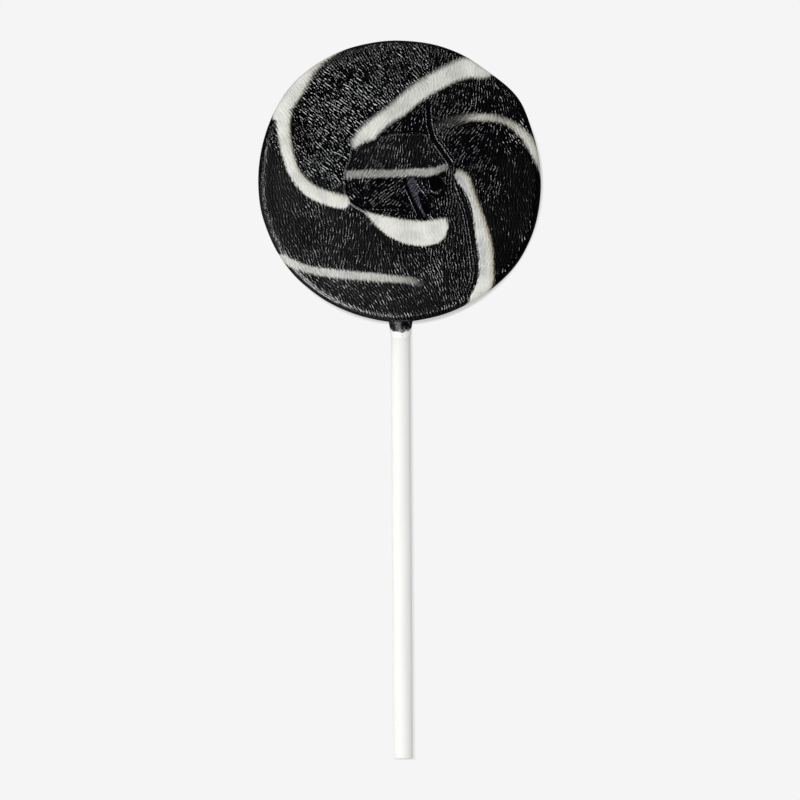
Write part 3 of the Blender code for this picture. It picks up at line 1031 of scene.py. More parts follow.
@dataclass
class CandyDisc:
    """The pressed coil: disc, seams, wrinkles and white strands in one closed skin.

    Lengths are in mm. A travel is a way along the skin from the middle of the nearest face.

    Attributes:
        shape: The plain disc.
        grid: The net of its skin.
        wrinkle_height: Height of the mesh's wrinkles.
        rolling_height: Height of the slow waves under them.
        rolling_sunk: How far these are sunk, in shares of their height.
        rolling_wave: Their mean wavelength.
        rim_calm: The travels between which the wrinkles fade towards the rim.
        rim_relief: The share of them that is left beyond.
        rim_ring: Travel, width and gain of a ring of livelier wrinkles.
        fold_quiet: How far the wrinkles give way beside a fold without ripples.
        fold_taper: Where a fold fades in at each end, in points of its line.
        step_reach: How far from a fold its step fades out.
        step_gap: Width of the foot of a step.
        crease_reach: How far from a fold its crease fades out.
        line_step: Greatest distance between points of a strand.
        fold_step: Greatest distance between points of a fold.
        far: How far out the distance to a strand or blot is worked out.
        panel_far: The same for the middle panel.
        fold_far: The same for a fold.
        seam_gap: How far the coil's strands stay away from the middle panel.
        strand_ends_in: The radius on the back at which an arm ends.
        strand_end: Width and whiteness of an arm there.
        stripes: The strands.
        blots: The odd stretches of the shown face.
        folds: The seams and creases of the shown face.
        back_seam_radius: The radii at which the back's seam starts and ends.
        back_seam_start: The angle in degrees at which it starts.
        back_seam_turn: The degrees that it turns.
    """

    shape: DiscShape
    grid: SkinGrid = field(default_factory=SkinGrid)
    wrinkle_height: float = 0.016
    rolling_height: float = 0.03
    rolling_sunk: float = 1.8
    rolling_wave: float = 11.0
    rim_calm: tuple[float, float] = (32.8, 35.5)
    rim_relief: float = 0.4
    rim_ring: tuple[float, float, float] = (31.7, 0.8, 1.2)
    fold_quiet: float = 0.6
    fold_taper: tuple[float, float] = (-0.5, 4.0)
    step_reach: float = 2.4
    step_gap: float = 0.22
    crease_reach: float = 1.2
    line_step: float = 0.6
    fold_step: float = 0.5
    far: float = 6.0
    panel_far: float = 20.0
    fold_far: float = 5.0
    seam_gap: float = 0.05
    strand_ends_in: float = 11.5
    strand_end: tuple[float, float] = (1.6, 0.9)
    stripes: tuple[Stripe, ...] = (
        Stripe(
            "left arm",
            ((-13.2, -4.75, 3.0, 0.95), (-14.2, -4.6, 3.1, 0.95), (-16.1, -4.1, 3.1, 1.0),
             (-20.6, -2.1, 2.9, 1.0), (-24.0, 1.6, 2.5, 0.98), (-25.7, 6.2, 2.5, 0.98),
             (-26.4, 10.6, 2.6, 1.0), (-26.55, 13.2, 3.0, 1.0), (-26.5, 15.4, 3.7, 1.0)),
            patch=Patch.COIL,
            rim_points=((150.5, 30.9, 4.4, 1.0), (147.0, 31.8, 5.6, 1.0), (140.0, 33.3, 7.0, 1.0),
                        (131.0, 34.5, 6.4, 1.0), (124.0, 35.2, 6.2, 1.0), (116.0, 35.9, 6.2, 1.0),
                        (109.0, 37.3, 6.2, 1.0)),
            back_sweep=-60.0,
            blur=(0.5, 0.35),
            tint=(0.35, 0.0),
        ),
        Stripe(
            "top arm",
            ((-9.3, 8.8, 3.0, 0.85), (-7.75, 10.35, 3.9, 0.92), (-6.1, 12.2, 3.4, 0.95),
             (-2.3, 15.2, 3.2, 0.88), (-0.2, 16.6, 3.6, 0.88), (3.6, 19.8, 3.8, 0.88),
             (7.8, 22.5, 3.9, 0.84), (12.3, 24.8, 4.1, 0.88), (16.7, 26.2, 4.6, 0.98),
             (21.0, 25.6, 4.6, 0.98)),
            patch=Patch.COIL,
            back_sweep=-76.0,
            blur=(0.6, 0.85),
        ),
        Stripe(
            "right arm",
            ((8.6, 12.4, 1.8, 0.02), (11.2, 13.4, 1.9, 0.04), (13.7, 14.0, 1.9, 0.1),
             (16.2, 14.4, 1.6, 0.38), (18.7, 14.4, 1.5, 0.7), (21.2, 14.2, 1.5, 0.58),
             (23.6, 13.6, 1.4, 0.44), (25.8, 12.6, 1.4, 0.62), (27.9, 11.1, 1.7, 0.76),
             (29.9, 9.0, 2.2, 0.82), (31.6, 6.3, 2.6, 0.86)),
            back_sweep=-72.0,
            blur=(0.45, 0.55),
            tint=(0.3, 0.5),
        ),
        Stripe(
            "lower right arm",
            ((13.8, 1.3, 2.2, 0.72), (14.8, 0.1, 2.8, 0.86), (15.9, -2.0, 2.1, 0.76),
             (16.9, -4.4, 1.8, 0.72), (17.6, -6.7, 2.0, 0.78), (18.2, -9.1, 2.5, 0.86),
             (18.7, -11.5, 3.0, 0.9), (19.2, -13.9, 3.3, 0.9), (19.6, -16.4, 3.3, 0.92),
             (19.7, -18.8, 3.2, 0.94), (19.8, -21.3, 3.3, 0.98), (19.5, -23.8, 3.7, 1.0),
             (18.9, -26.1, 4.6, 1.0)),
            back_sweep=-66.0,
            blur=(0.25, 0.45),
            tint=(-0.45, 0.8),
        ),
        Stripe(
            "lower left arm",
            ((4.6, -23.6, 1.4, 0.06), (2.2, -23.0, 1.5, 0.34), (-0.3, -22.7, 1.5, 0.52),
             (-5.3, -22.3, 1.8, 0.62), (-10.3, -21.8, 1.8, 0.72), (-15.3, -21.3, 1.9, 0.76),
             (-20.2, -20.5, 1.7, 0.64), (-25.0, -18.8, 1.8, 0.82), (-27.5, -17.5, 2.3, 0.92)),
            back_sweep=-62.0,
            blur=(0.35, 0.45),
        ),
        Stripe(
            "middle line",
            ((-13.2, 1.5, 1.8, 0.36), (-9.5, 1.6, 1.7, 0.35), (-4.5, 1.7, 1.7, 0.36),
             (0.5, 1.8, 1.6, 0.4), (3.0, 2.0, 1.6, 0.52), (5.5, 1.9, 1.8, 0.46),
             (8.0, 2.2, 1.6, 0.44), (10.6, 3.2, 1.3, 0.22)),
            patch=Patch.MIDDLE,
            blur=(0.35, 0.35),
        ),
        Stripe(
            "back crescent",
            ((-8.0, 6.4, 1.2, 1.0), (-3.4, 7.8, 3.0, 1.0), (2.0, 7.6, 3.6, 1.0), (7.0, 5.4, 1.4, 1.0)),
            face=Face.BACK,
        ),
        Stripe(
            "back middle line",
            ((-8.4, -3.4, 1.0, 0.6), (-2.6, -4.2, 1.7, 0.7), (3.4, -4.6, 1.7, 0.7), (8.2, -3.2, 1.0, 0.6)),
            face=Face.BACK,
        ),
    )
    blots: tuple[Blot, ...] = (
        Blot(
            "crescent",
            ((-7.9, -7.1), (-5.2, -7.8), (-2.6, -8.3), (1.2, -9.0), (5.0, -9.4), (8.0, -9.1), (10.6, -8.6),
             (11.1, -10.7), (10.3, -13.1), (8.5, -14.5), (5.0, -15.15), (1.1, -14.5), (-2.7, -12.8),
             (-5.2, -10.7), (-7.0, -8.6)),
            blur=(0.4, 0.25), white=1.0, tint=0.25,
        ),
        Blot(
            "blade",
            ((1.7, 0.7), (1.9, -0.9), (2.7, -3.0), (3.7, -5.0), (4.6, -6.7), (5.5, -8.2), (5.9, -8.1),
             (5.1, -6.4), (4.5, -4.6), (4.2, -3.2), (4.2, -1.9), (3.4, 0.7)),
            blur=(0.15, 0.15), mist=1.0, calm=0.2,
        ),
        Blot(
            "blade shade",
            ((0.7, 1.0), (1.6, 1.0), (1.9, -0.9), (2.7, -3.0), (3.7, -5.0), (4.6, -6.7), (5.4, -8.3),
             (5.0, -8.3), (4.1, -6.8), (2.9, -4.6), (2.2, -3.1), (1.7, -2.0), (0.9, -0.6)),
            blur=(0.12, 0.12), calm=1.0,
        ),
        Blot(
            "hollow",
            ((7.0, 0.9), (7.0, -1.2), (8.2, -2.1), (9.6, -1.4), (10.4, 0.2), (9.2, 1.0)),
            blur=(0.4, 0.4), calm=1.0,
        ),
        Blot(
            "dent",
            ((5.0, -5.4), (6.6, -5.2), (6.9, -7.2), (6.0, -8.0), (5.4, -7.0)),
            blur=(0.4, 0.4), calm=0.95,
        ),
    )
    folds: tuple[Fold, ...] = (
        Fold(((-4.5, 10.2), (-8.2, 9.0), (-10.8, 7.2), (-11.3, 4.7), (-12.2, 3.1), (-12.6, 0.9),
              (-12.6, -0.8), (-12.3, -3.0), (-11.1, -5.1), (-8.1, -7.0), (-7.0, -8.6)),
             depth=-0.10, width=0.26, step=0.08),
        Fold(((7.4, 9.6), (4.9, 10.6), (2.3, 10.9), (-1.0, 10.8), (-4.5, 10.2)), depth=0.12, width=0.3,
             step=0.08),
        Fold(((6.9, 17.6), (7.0, 13.6), (7.8, 10.2), (9.8, 7.0), (11.6, 4.4), (12.6, 2.8)),
             depth=0.1, width=0.2, ripples=0.045, reach=1.5),
        Fold(((12.6, 2.8), (13.3, 0.2), (14.2, -2.6), (15.4, -5.6), (16.1, -8.4), (16.7, -12.0),
              (17.2, -16.0), (17.7, -20.0), (17.4, -23.4), (15.8, -27.4)),
             depth=0.08, width=0.17, ripples=0.04, reach=2.4),
        Fold(((11.7, 2.9), (11.3, -0.5), (11.4, -2.6), (11.8, -4.1), (11.4, -6.4), (10.9, -8.2)),
             depth=-0.07, ripples=0.05, reach=1.3),
        Fold(((0.9, -1.2), (1.5, -2.3), (2.2, -3.8), (2.8, -5.2), (3.2, -6.2), (4.2, -7.9)), depth=-0.05,
             width=0.16),
        Fold(((3.3, 0.8), (4.3, -1.0), (5.2, -2.3), (6.0, -3.3), (6.5, -4.2), (6.3, -5.0)),
             depth=-0.06, width=0.18),
        Fold(((4.8, 0.8), (5.5, -1.0), (6.3, -2.2)), depth=-0.07, width=0.18),
        Fold(((6.8, -1.4), (7.4, -2.3), (8.5, -2.7), (9.6, -2.3), (9.9, -1.2)), depth=-0.07, width=0.18),
        Fold(((-7.6, -6.3), (-4.0, -6.5), (-0.4, -6.6), (2.2, -6.4)), depth=-0.05, width=0.18),
        Fold(((9.0, 13.2), (12.0, 13.6), (15.5, 13.6), (18.5, 13.3)), depth=0.08, width=0.2, ripples=0.03,
             reach=1.6),
        Fold(((-28.2, -14.9), (-25.1, -19.2), (-21.8, -22.8), (-17.7, -26.2), (-13.9, -28.4)), depth=0.05,
             width=0.2),
    )
    back_seam_radius: tuple[float, float] = (12.6, 28.5)
    back_seam_start: float = 35.0
    back_seam_turn: float = 250.0

    def middle_outline(self) -> tuple[tuple[float, float], ...]:
        """List the outline of the middle panel: its seams, and its open side on the right."""
        return (*self.folds[1].points[:-1], *self.folds[0].points, (-4.9, -11.3), (-2.2, -13.4),
                (0.4, -14.9), (6.0, -15.3), (10.3, -13.2), (11.2, -9.5), (11.2, -5.5), (11.3, -1.0),
                (12.2, 3.0), (10.3, 6.2))

    def guides(self) -> dict[Patch, list[Lean]]:
        """List how the wrinkles run over the shown face, patch by patch."""
        coil = leans(0.86, 0.12, (-24, 14, 26), (-23, 9, 28), (-19, 7, 34), (-15, 9, 30), (-12.5, 8, 40),
                     (-19, 16, 40), (-17, 21, 42), (-12, 23, 46), (-9, 18, 40), (-5, 18, 38), (-14, 13, 40))
        coil += leans(1.0, 0.5, (-3, 25, 32), (2, 27, 36), (4, 23, 32), (8, 28, 40), (-10, 29, 34))
        coil += leans(0.25, 1.0, (-31, 3, 0), (-30, -6, 4), (-26, -4, 14), (-27, -14, 12))
        coil += leans(0.45, 0.85, (-21, -6, 16), (-22, -16, 12), (-15, -10, -6), (-10, -9, -8),
                      (-8, -15, -20), (-14, -17, -8), (-4, -17, 0), (2, -18, 14))
        coil += leans(0.27, 0.95, (-19, -25, 40), (-9, -28, 30), (0, -27, 28), (5, -24, 26), (8, -27, 20))
        coil += leans(0.68, 0.75, (13, -1, 6), (14, -8, 8), (11, -13, -6), (15, -18, -8), (11, -23, 2),
                      (14, -28, 2), (6, -19, 16))
        coil += leans(0.6, 0.3, (3, 13, -14), (-3, 12, -40), (4, 17, -24))
        middle = leans(0.55, 0.85, (-10, 5, -30), (-6, 7, -22), (1, 6, -14), (6, 6, -10), (9, 7, -10))
        middle += leans(1.0, 0.15, (0.3, -5.5, -45))
        middle += leans(0.6, 0.2, (-10.5, -3, 30), (-6, -2, -45), (-2, -2, -50), (-4, -6, -55),
                        (2, -2, -40), (3.6, -4.5, -60), (6, -4, 20), (5, -9, 34), (9, -5, 0),
                        (11, -3, 0), (2, -12, 0))
        right = leans(0.7, 0.6, (7, 17, -14), (10, 18, -14), (17, 20, -4), (24, 18, 8), (27, 14, 35),
                      (10, 13, -35))
        right += leans(0.75, 0.2, (16, 13, -62), (21, 12.5, -20), (24, 10, 30), (9, 9, -20), (14, 9, -36),
                       (17, 7, -46))
        right += leans(1.1, 0.35, (6.5, 13, -8), (8.5, 11, -20), (17.6, 1.5, -30), (19, -1.5, -20))
        right += leans(0.36, 0.6, (20, 8, -14), (18, 1, -16), (18.5, -4, 6), (24, -18, -10))
        right += leans(0.36, 0.85, (27, 2, -12), (22, -10, 0), (30, -6, 4), (29, -14, 0))
        return {Patch.COIL: coil, Patch.MIDDLE: middle, Patch.RIGHT: right}

    def patches(self, x: np.ndarray, y: np.ndarray) -> np.ndarray:
        """Number the patch that each place of the shown face is in."""
        middle = inside_outline(x, y, self.middle_outline())
        right = inside_outline(x, y, ((6.9, 34.0), *self.folds[2].points[:-1], *self.folds[3].points,
                                      (16.0, -40.0), (40.0, -40.0), (40.0, 34.0)))
        return np.where(middle, Patch.MIDDLE.value, np.where(right, Patch.RIGHT.value, Patch.COIL.value))

    def back_guides(self) -> dict[Patch, list[Lean]]:
        """List how the wrinkles run over the back: across the coil, by a plain rule."""
        places = []
        for radius, count in ((0.0, 1), (9.0, 6), (19.0, 11), (28.0, 15)):
            for number in range(count):
                angle = FULL_TURN * number / count
                lean = 24.0 * math.sin(angle + radius * 0.12) + 8.0 * math.cos(3.0 * angle)
                places.append((radius * math.cos(angle), radius * math.sin(angle), lean))
        return {Patch.COIL: leans(0.7, 0.5, *places)}

    def strand_line(self, stripe: Stripe) -> tuple[np.ndarray, np.ndarray]:
        """Lay a strand on the surface, over the rim and in again on the back if it is an arm.

        On the back the angle is a quadratic in the travel. It leaves the rim in the direction in
        which the strand reaches it, and has turned the whole back sweep at the strand's end.

        Args:
            stripe: The strand.

        Returns:
            Rows of x, y and z, and rows of width and whiteness.
        """
        line = catmull_rom(stripe.points, self.line_step)
        angle = np.unwrap(np.arctan2(line[:, 1], line[:, 0]))
        travel = self.shape.travel_at(np.hypot(line[:, 0], line[:, 1]), stripe.face)
        values = line[:, 2:]
        if stripe.rim_points:
            rim = np.array(stripe.rim_points)
            reach = self.shape.radius
            rim[:, 0] = np.unwrap(np.append(angle[-1], np.radians(rim[:, 0])))[1:] * reach
            start = (angle[-1] * reach, travel[-1], *values[-1])
            rim = catmull_rom(np.vstack((start, rim)), self.line_step)[1:]
            angle, travel = np.append(angle, rim[:, 0] / reach), np.append(travel, rim[:, 1])
            values = np.vstack((values, rim[:, 2:]))
        if stripe.back_sweep:
            slope = (angle[-1] - angle[-6]) / (travel[-1] - travel[-6])
            end = float(self.shape.travel_at(np.array(self.strand_ends_in), Face.BACK))
            ahead = np.arange(self.line_step, end - travel[-1], self.line_step)
            bend = (math.radians(stripe.back_sweep) - slope * ahead[-1]) / ahead[-1] ** 2
            angle = np.append(angle, angle[-1] + slope * ahead + bend * ahead**2)
            travel = np.append(travel, travel[-1] + ahead)
            share = (ahead / ahead[-1])[:, None] ** 2
            values = np.vstack((values, values[-1] + (np.array(self.strand_end) - values[-1]) * share))
        return self.shape.position(angle, travel), values

    def lay_strands(self, points: np.ndarray, normals: np.ndarray) -> dict[str, np.ndarray]:
        """Work out, for each point, how far it is inside the nearest strand, and that strand's looks.

        Args:
            points: Rows of x, y and z in mm.
            normals: The surface's normals.

        Returns:
            The inset in mm, the edge's blur, the whiteness and the tint of every point.
        """
        count = len(points)
        cut = signed_inset(points, np.full(count, True), self.middle_outline(), self.panel_far)
        cut[normals[:, 2] < 0.0] = -self.far
        inset, blur = np.full(count, -self.far), np.full(count, 0.25)
        white, tint = np.ones(count), np.zeros(count)
        for stripe in self.stripes:
            line, values = self.strand_line(stripe)
            near = close_to(points, line, self.far)
            found = closest_on_line(points[near], normals[near], line)
            rows = np.arange(len(values))
            half = np.interp(found.place, rows, values[:, 0]) / 2.0
            here = half - found.distance
            if stripe.patch is Patch.MIDDLE:
                here = np.minimum(here, cut[near])
            if stripe.patch is Patch.COIL:
                here = np.minimum(here, -cut[near] - self.seam_gap)
            better = here > inset[near]
            chosen = near[better]
            inset[chosen] = here[better]
            left = found.side[better] > 0.0
            blur[chosen] = np.where(left, stripe.blur[1], stripe.blur[0])
            tint[chosen] = np.where(left, stripe.tint[1], stripe.tint[0])
            white[chosen] = np.interp(found.place, rows, values[:, 1])[better]
        return {"strand_inset": inset, "strand_blur": blur, "strand_white": white, "strand_tint": tint}

    def lay_blots(self, points: np.ndarray, shown: np.ndarray, looks: dict[str, np.ndarray]) -> None:
        """Add the blots of the shown face to the looks.

        Args:
            points: Rows of x, y and z in mm.
            shown: Whether each point is on the shown face.
            looks: The strands' looks, which white blots change; mist and calm are added to it.
        """
        looks["mist"], looks["calm"] = np.zeros(len(points)), np.zeros(len(points))
        for blot in self.blots:
            whole = signed_inset(points, shown, blot.outline, self.far)
            near = np.flatnonzero(whole > -self.far)
            inset = whole[near]
            upper = points[near, 1] > np.mean([y for _, y in blot.outline])
            blur = np.where(upper, blot.blur[0], blot.blur[1])
            share = smoothstep(-1.0, 1.0, inset / blur)
            looks["mist"][near] = np.maximum(looks["mist"][near], blot.mist * share)
            looks["calm"][near] = np.maximum(looks["calm"][near], blot.calm * share)
            better = (inset > looks["strand_inset"][near]) & (blot.white > 0.0)
            chosen = near[better]
            looks["strand_inset"][chosen] = inset[better]
            looks["strand_blur"][chosen] = blur[better]
            looks["strand_white"][chosen] = blot.white
            looks["strand_tint"][chosen] = blot.tint

    def press_folds(self, points: np.ndarray, normals: np.ndarray, folds: Sequence[Fold]
                    ) -> tuple[np.ndarray, np.ndarray, np.ndarray, np.ndarray]:
        """Find the nearest fold to every point, and press the folds' steps into the surface.

        A step sinks the side to the right of the line by its height, and fades out beside it.

        Args:
            points: Rows of x, y and z in mm.
            normals: The surface's normals.
            folds: The folds.

        Returns:
            The height in mm that the steps add; the distance to the nearest fold in mm, below 0 to
            its right; rows of its crease's depth, its ripples' height and its crease's half width;
            and how much the wrinkles give way to the folds.
        """
        height, away = np.zeros(len(points)), np.full(len(points), self.fold_far)
        quiet = np.zeros(len(points))
        form = np.tile((0.0, 0.0, 0.3), (len(points), 1))
        for fold in folds:
            line = catmull_rom(fold.points, self.fold_step)
            angle = np.arctan2(line[:, 1], line[:, 0])
            travel = self.shape.travel_at(np.hypot(line[:, 0], line[:, 1]), fold.face)
            route = self.shape.position(angle, travel)
            near = close_to(points, route, self.fold_far)
            found = closest_on_line(points[near], normals[near], route)
            last = len(route) - 1.0
            taper = smoothstep(*self.fold_taper, found.place)
            taper = taper * smoothstep(*self.fold_taper, last - found.place)
            beside = bell(found.distance, self.step_reach) * (1.0 - bell(found.distance, self.step_gap))
            height[near] += fold.step * 0.5 * (found.side - 1.0) * beside * taper
            reach = 0.7 * fold.reach if fold.ripples else self.fold_quiet
            quiet[near] = np.maximum(quiet[near], bell(found.distance, reach) * taper)
            better = found.distance < np.abs(away[near])
            chosen = near[better]
            away[chosen] = (found.distance * found.side)[better]
            depth = fold.depth * taper * bell(found.distance, self.crease_reach)
            ripples = fold.ripples * bell(found.distance, fold.reach) * taper
            form[chosen] = np.stack((depth, ripples, np.full(len(near), fold.width)), axis=-1)[better]
        return height, away, form, quiet

    def back_seam(self) -> Fold:
        """Draw the coil's seam on the back, as a spiral that opens with the square of its turn."""
        share = np.linspace(0.0, 1.0, 24)
        angle = np.radians(self.back_seam_start + self.back_seam_turn * share)
        inner, outer = self.back_seam_radius
        radius = inner + (outer - inner) * share**2
        points = tuple(zip(radius * np.cos(angle), radius * np.sin(angle)))
        return Fold(points, depth=0.12, width=0.3, step=0.2, face=Face.BACK)

    def build(self, material: bpy.types.Material) -> bpy.types.Object:
        """Make the candy's skin and dress it.

        Args:
            material: The candy's material.

        Returns:
            The candy.
        """
        angle, travel, quads, triangles = self.grid.build(self.shape)
        points = self.shape.position(angle, travel)
        normals = self.shape.normal(angle, travel)
        full = self.shape.full_travel()
        shown = travel < full / 2.0
        reach = np.where(shown, travel, full - travel)
        chart = np.stack((reach * np.cos(angle), reach * np.sin(angle), 0.0 * angle), axis=-1)

        front = WrinkleField(seed=11)
        front.form(self.guides(), self.patches(*front.axes()))
        back = WrinkleField(seed=12)
        back.form(self.back_guides(), np.full_like(back.axes()[0], Patch.COIL.value))
        front_values, back_values = front.at(chart[:, 0], chart[:, 1]), back.at(chart[:, 0], chart[:, 1])
        wrinkle = {name: np.where(shown, front_values[name], back_values[name]) for name in front_values}

        looks = self.lay_strands(points, normals)
        self.lay_blots(points, shown, looks)
        height, away, form, quiet = self.press_folds(points, normals, (*self.folds, self.back_seam()))
        calm = smoothstep(*self.rim_calm, reach) * (1.0 - self.rim_relief)
        middle, width, gain = self.rim_ring
        lively = 1.0 + gain * bell(reach - middle, width)
        relief = wrinkle["relief"] * lively * (1.0 - calm) * (1.0 - looks["calm"]) * (1.0 - 0.8 * quiet)
        height += wrinkle["streaks"] * relief * self.wrinkle_height
        height += self.rolling_height * (rolling(points, 5, self.rolling_wave, 9) - self.rolling_sunk)
        points = points + normals * height[:, None]

        candy = make_mesh("candy", material, points, quads, triangles)
        looks["haze"] = wrinkle["haze"] * (1.0 - looks.pop("calm"))
        looks["chart"] = chart * MM
        looks["run"] = np.stack((wrinkle["cosine"], wrinkle["sine"], relief), axis=-1)
        looks["fold_away"], looks["fold_form"] = away, form
        for name, values in looks.items():
            set_attribute(candy, name, values)
        LOG.info("candy: %d points, %d quads", len(points), len(quads))
        return candy


@dataclass(frozen=True)
class Collar:
    """The bead of candy that climbs the stick where it leaves the disc, with a thin glaze below it."""

    axis_height: float
    stick_radius: float
    start: float = -30.0
    sides: int = 96
    outline: tuple[Point, ...] = (
        (-30.0, 0.85), (-31.6, 0.70), (-32.6, 0.48), (-33.3, 0.36), (-33.9, 0.24), (-34.3, 0.14),
        (-34.7, 0.10), (-35.1, 0.09), (-35.35, 0.06), (-35.45, -0.05),
    )
    black_ends: float = -33.3
    glaze_starts: float = -34.7
    sag: float = 0.75
    sag_span: tuple[float, float] = (-31.5, -34.5)
    waves: tuple[tuple[float, float, float], ...] = ((0.07, 2.0, 0.7), (0.05, 5.0, 0.0), (0.03, 9.0, 2.0))

    def build(self, material: bpy.types.Material) -> bpy.types.Object:
        """Turn the outline round the stick, sagging like a drip, and close it along the stick.

        The outline gives y and the height over the stick's skin. Its end reaches further along the
        stick's shown side by the sag times the sine of the turn, and a sum of sine waves round the
        stick, each a height, a count and a phase, makes its edge uneven.

        Args:
            material: The collar's material.

        Returns:
            The collar.
        """
        line = catmull_rom(self.outline, 0.1)
        line = np.vstack((line, (self.start, -0.05)))
        turn = np.arange(self.sides) * FULL_TURN / self.sides
        share = smoothstep(*self.sag_span, line[:, :1])
        wave = sum(height * np.sin(count * turn + phase) for height, count, phase in self.waves)
        lift = line[:, 1:] * (1.0 + 1.2 * wave * share)
        along = line[:, :1] + (wave - self.sag * np.sin(turn)) * share
        radius = self.stick_radius + lift
        points = np.stack((radius * np.cos(turn), along, self.axis_height + radius * np.sin(turn)), axis=-1)
        rings = np.arange(points.shape[0] * self.sides).reshape(-1, self.sides)
        collar = make_mesh("collar", material, points.reshape(-1, 3), turned_rings(rings, True))
        thinning = smoothstep(self.black_ends, self.glaze_starts, line[:, :1]) + 0.0 * turn
        set_attribute(collar, "thinning", thinning.ravel())
        return collar


@dataclass(frozen=True)
class PaperStick:
    """The rolled paper stick: a long round rod with a spiral of paper at its end."""

    radius: float
    root: float
    tip: float
    axis_height: float
    rounding: float = 0.45
    sides: int = 72
    row_length: float = 1.0
    seam_depth: float = 0.03
    seam_width: float = 0.12
    seam_degrees: float = 250.0
    seam_twist: float = 0.004
    skin_depth: tuple[float, float] = (0.6, 0.1)
    roll_pitch: float = 0.42
    roll_depth: float = 0.12

    def outline(self) -> np.ndarray:
        """Give y and radius along the rod, from the middle of its root to the middle of its tip."""
        quarter = np.linspace(0.0, math.pi / 2.0, 7)
        corner = np.stack((self.rounding * (1.0 - np.sin(quarter)),
                           self.radius - self.rounding * (1.0 - np.cos(quarter))), axis=-1)[::-1]
        disc = np.linspace(0.08, self.radius - self.rounding, 16, endpoint=False)
        cap = np.vstack((np.stack((np.zeros_like(disc), disc), axis=-1), corner))
        rows = int((self.root - self.tip) / self.row_length)
        y = np.linspace(self.root - self.rounding, self.tip + self.rounding, rows)[1:-1]
        top = np.stack((self.root - cap[:, 0], cap[:, 1]), axis=-1)
        bottom = np.stack((self.tip + cap[:, 0], cap[:, 1]), axis=-1)[::-1]
        return np.vstack((top, np.stack((y, np.full_like(y, self.radius)), axis=-1), bottom))

    def build(self, material: bpy.types.Material) -> bpy.types.Object:
        """Turn the outline, with the paper's long seam as a notch and its roll as a spiral groove.

        The seam is a bell curve of the distance from its line, the groove a cosine of the radius in
        pitches less the turn, and two slow sine waves along the stick keep its skin from being even.

        Args:
            material: The paper.

        Returns:
            The stick.
        """
        line = self.outline()
        turn = np.arange(self.sides) * FULL_TURN / self.sides
        y, radius = line[:, :1] + 0.0 * turn, line[:, 1:] + 0.0 * turn
        seam_angle = math.radians(self.seam_degrees) + (y - self.root) * self.seam_twist
        away = (turn - seam_angle + math.pi) % FULL_TURN - math.pi
        skin = smoothstep(*(self.radius - depth for depth in self.skin_depth), radius)
        wobble = 0.006 * np.sin(y * 0.21) + 0.004 * np.sin(y * 0.53 + 2.0 * turn)
        radius = radius - skin * (self.seam_depth * bell(away * self.radius, self.seam_width) - wobble)
        roll = 0.5 - 0.5 * np.cos(FULL_TURN * (radius / self.roll_pitch - turn / FULL_TURN))
        ends = (y > self.root - 0.2) | (y < self.tip + 0.2)
        inward = np.where(y > (self.root + self.tip) / 2.0, -1.0, 1.0)
        y = y + inward * ends * (1.0 - skin) * self.roll_depth * roll
        points = np.stack((radius * np.cos(turn), y, self.axis_height + radius * np.sin(turn)), axis=-1)
        rings = np.arange(points.shape[0] * self.sides).reshape(-1, self.sides)
        caps = np.stack((rings[0], rings[-1][::-1]))
        quads = turned_rings(rings, False)[:, ::-1]
        return make_mesh("paper_stick", material, points.reshape(-1, 3), quads, caps)


@dataclass(frozen=True)
class Panel:
    """A soft light panel.

    Attributes:
        name: The light's name.
        place: Its middle in mm.
        size: Its two sides in mm.
        power: Its power in watts.
        target: The point in mm that it faces.
        in_gloss: Whether reflections show it.
    """

    name: str
    place: tuple[float, float, float]
    size: tuple[float, float]
    power: float
    target: tuple[float, float, float] = (0.0, 0.0, 10.0)
    in_gloss: bool = True


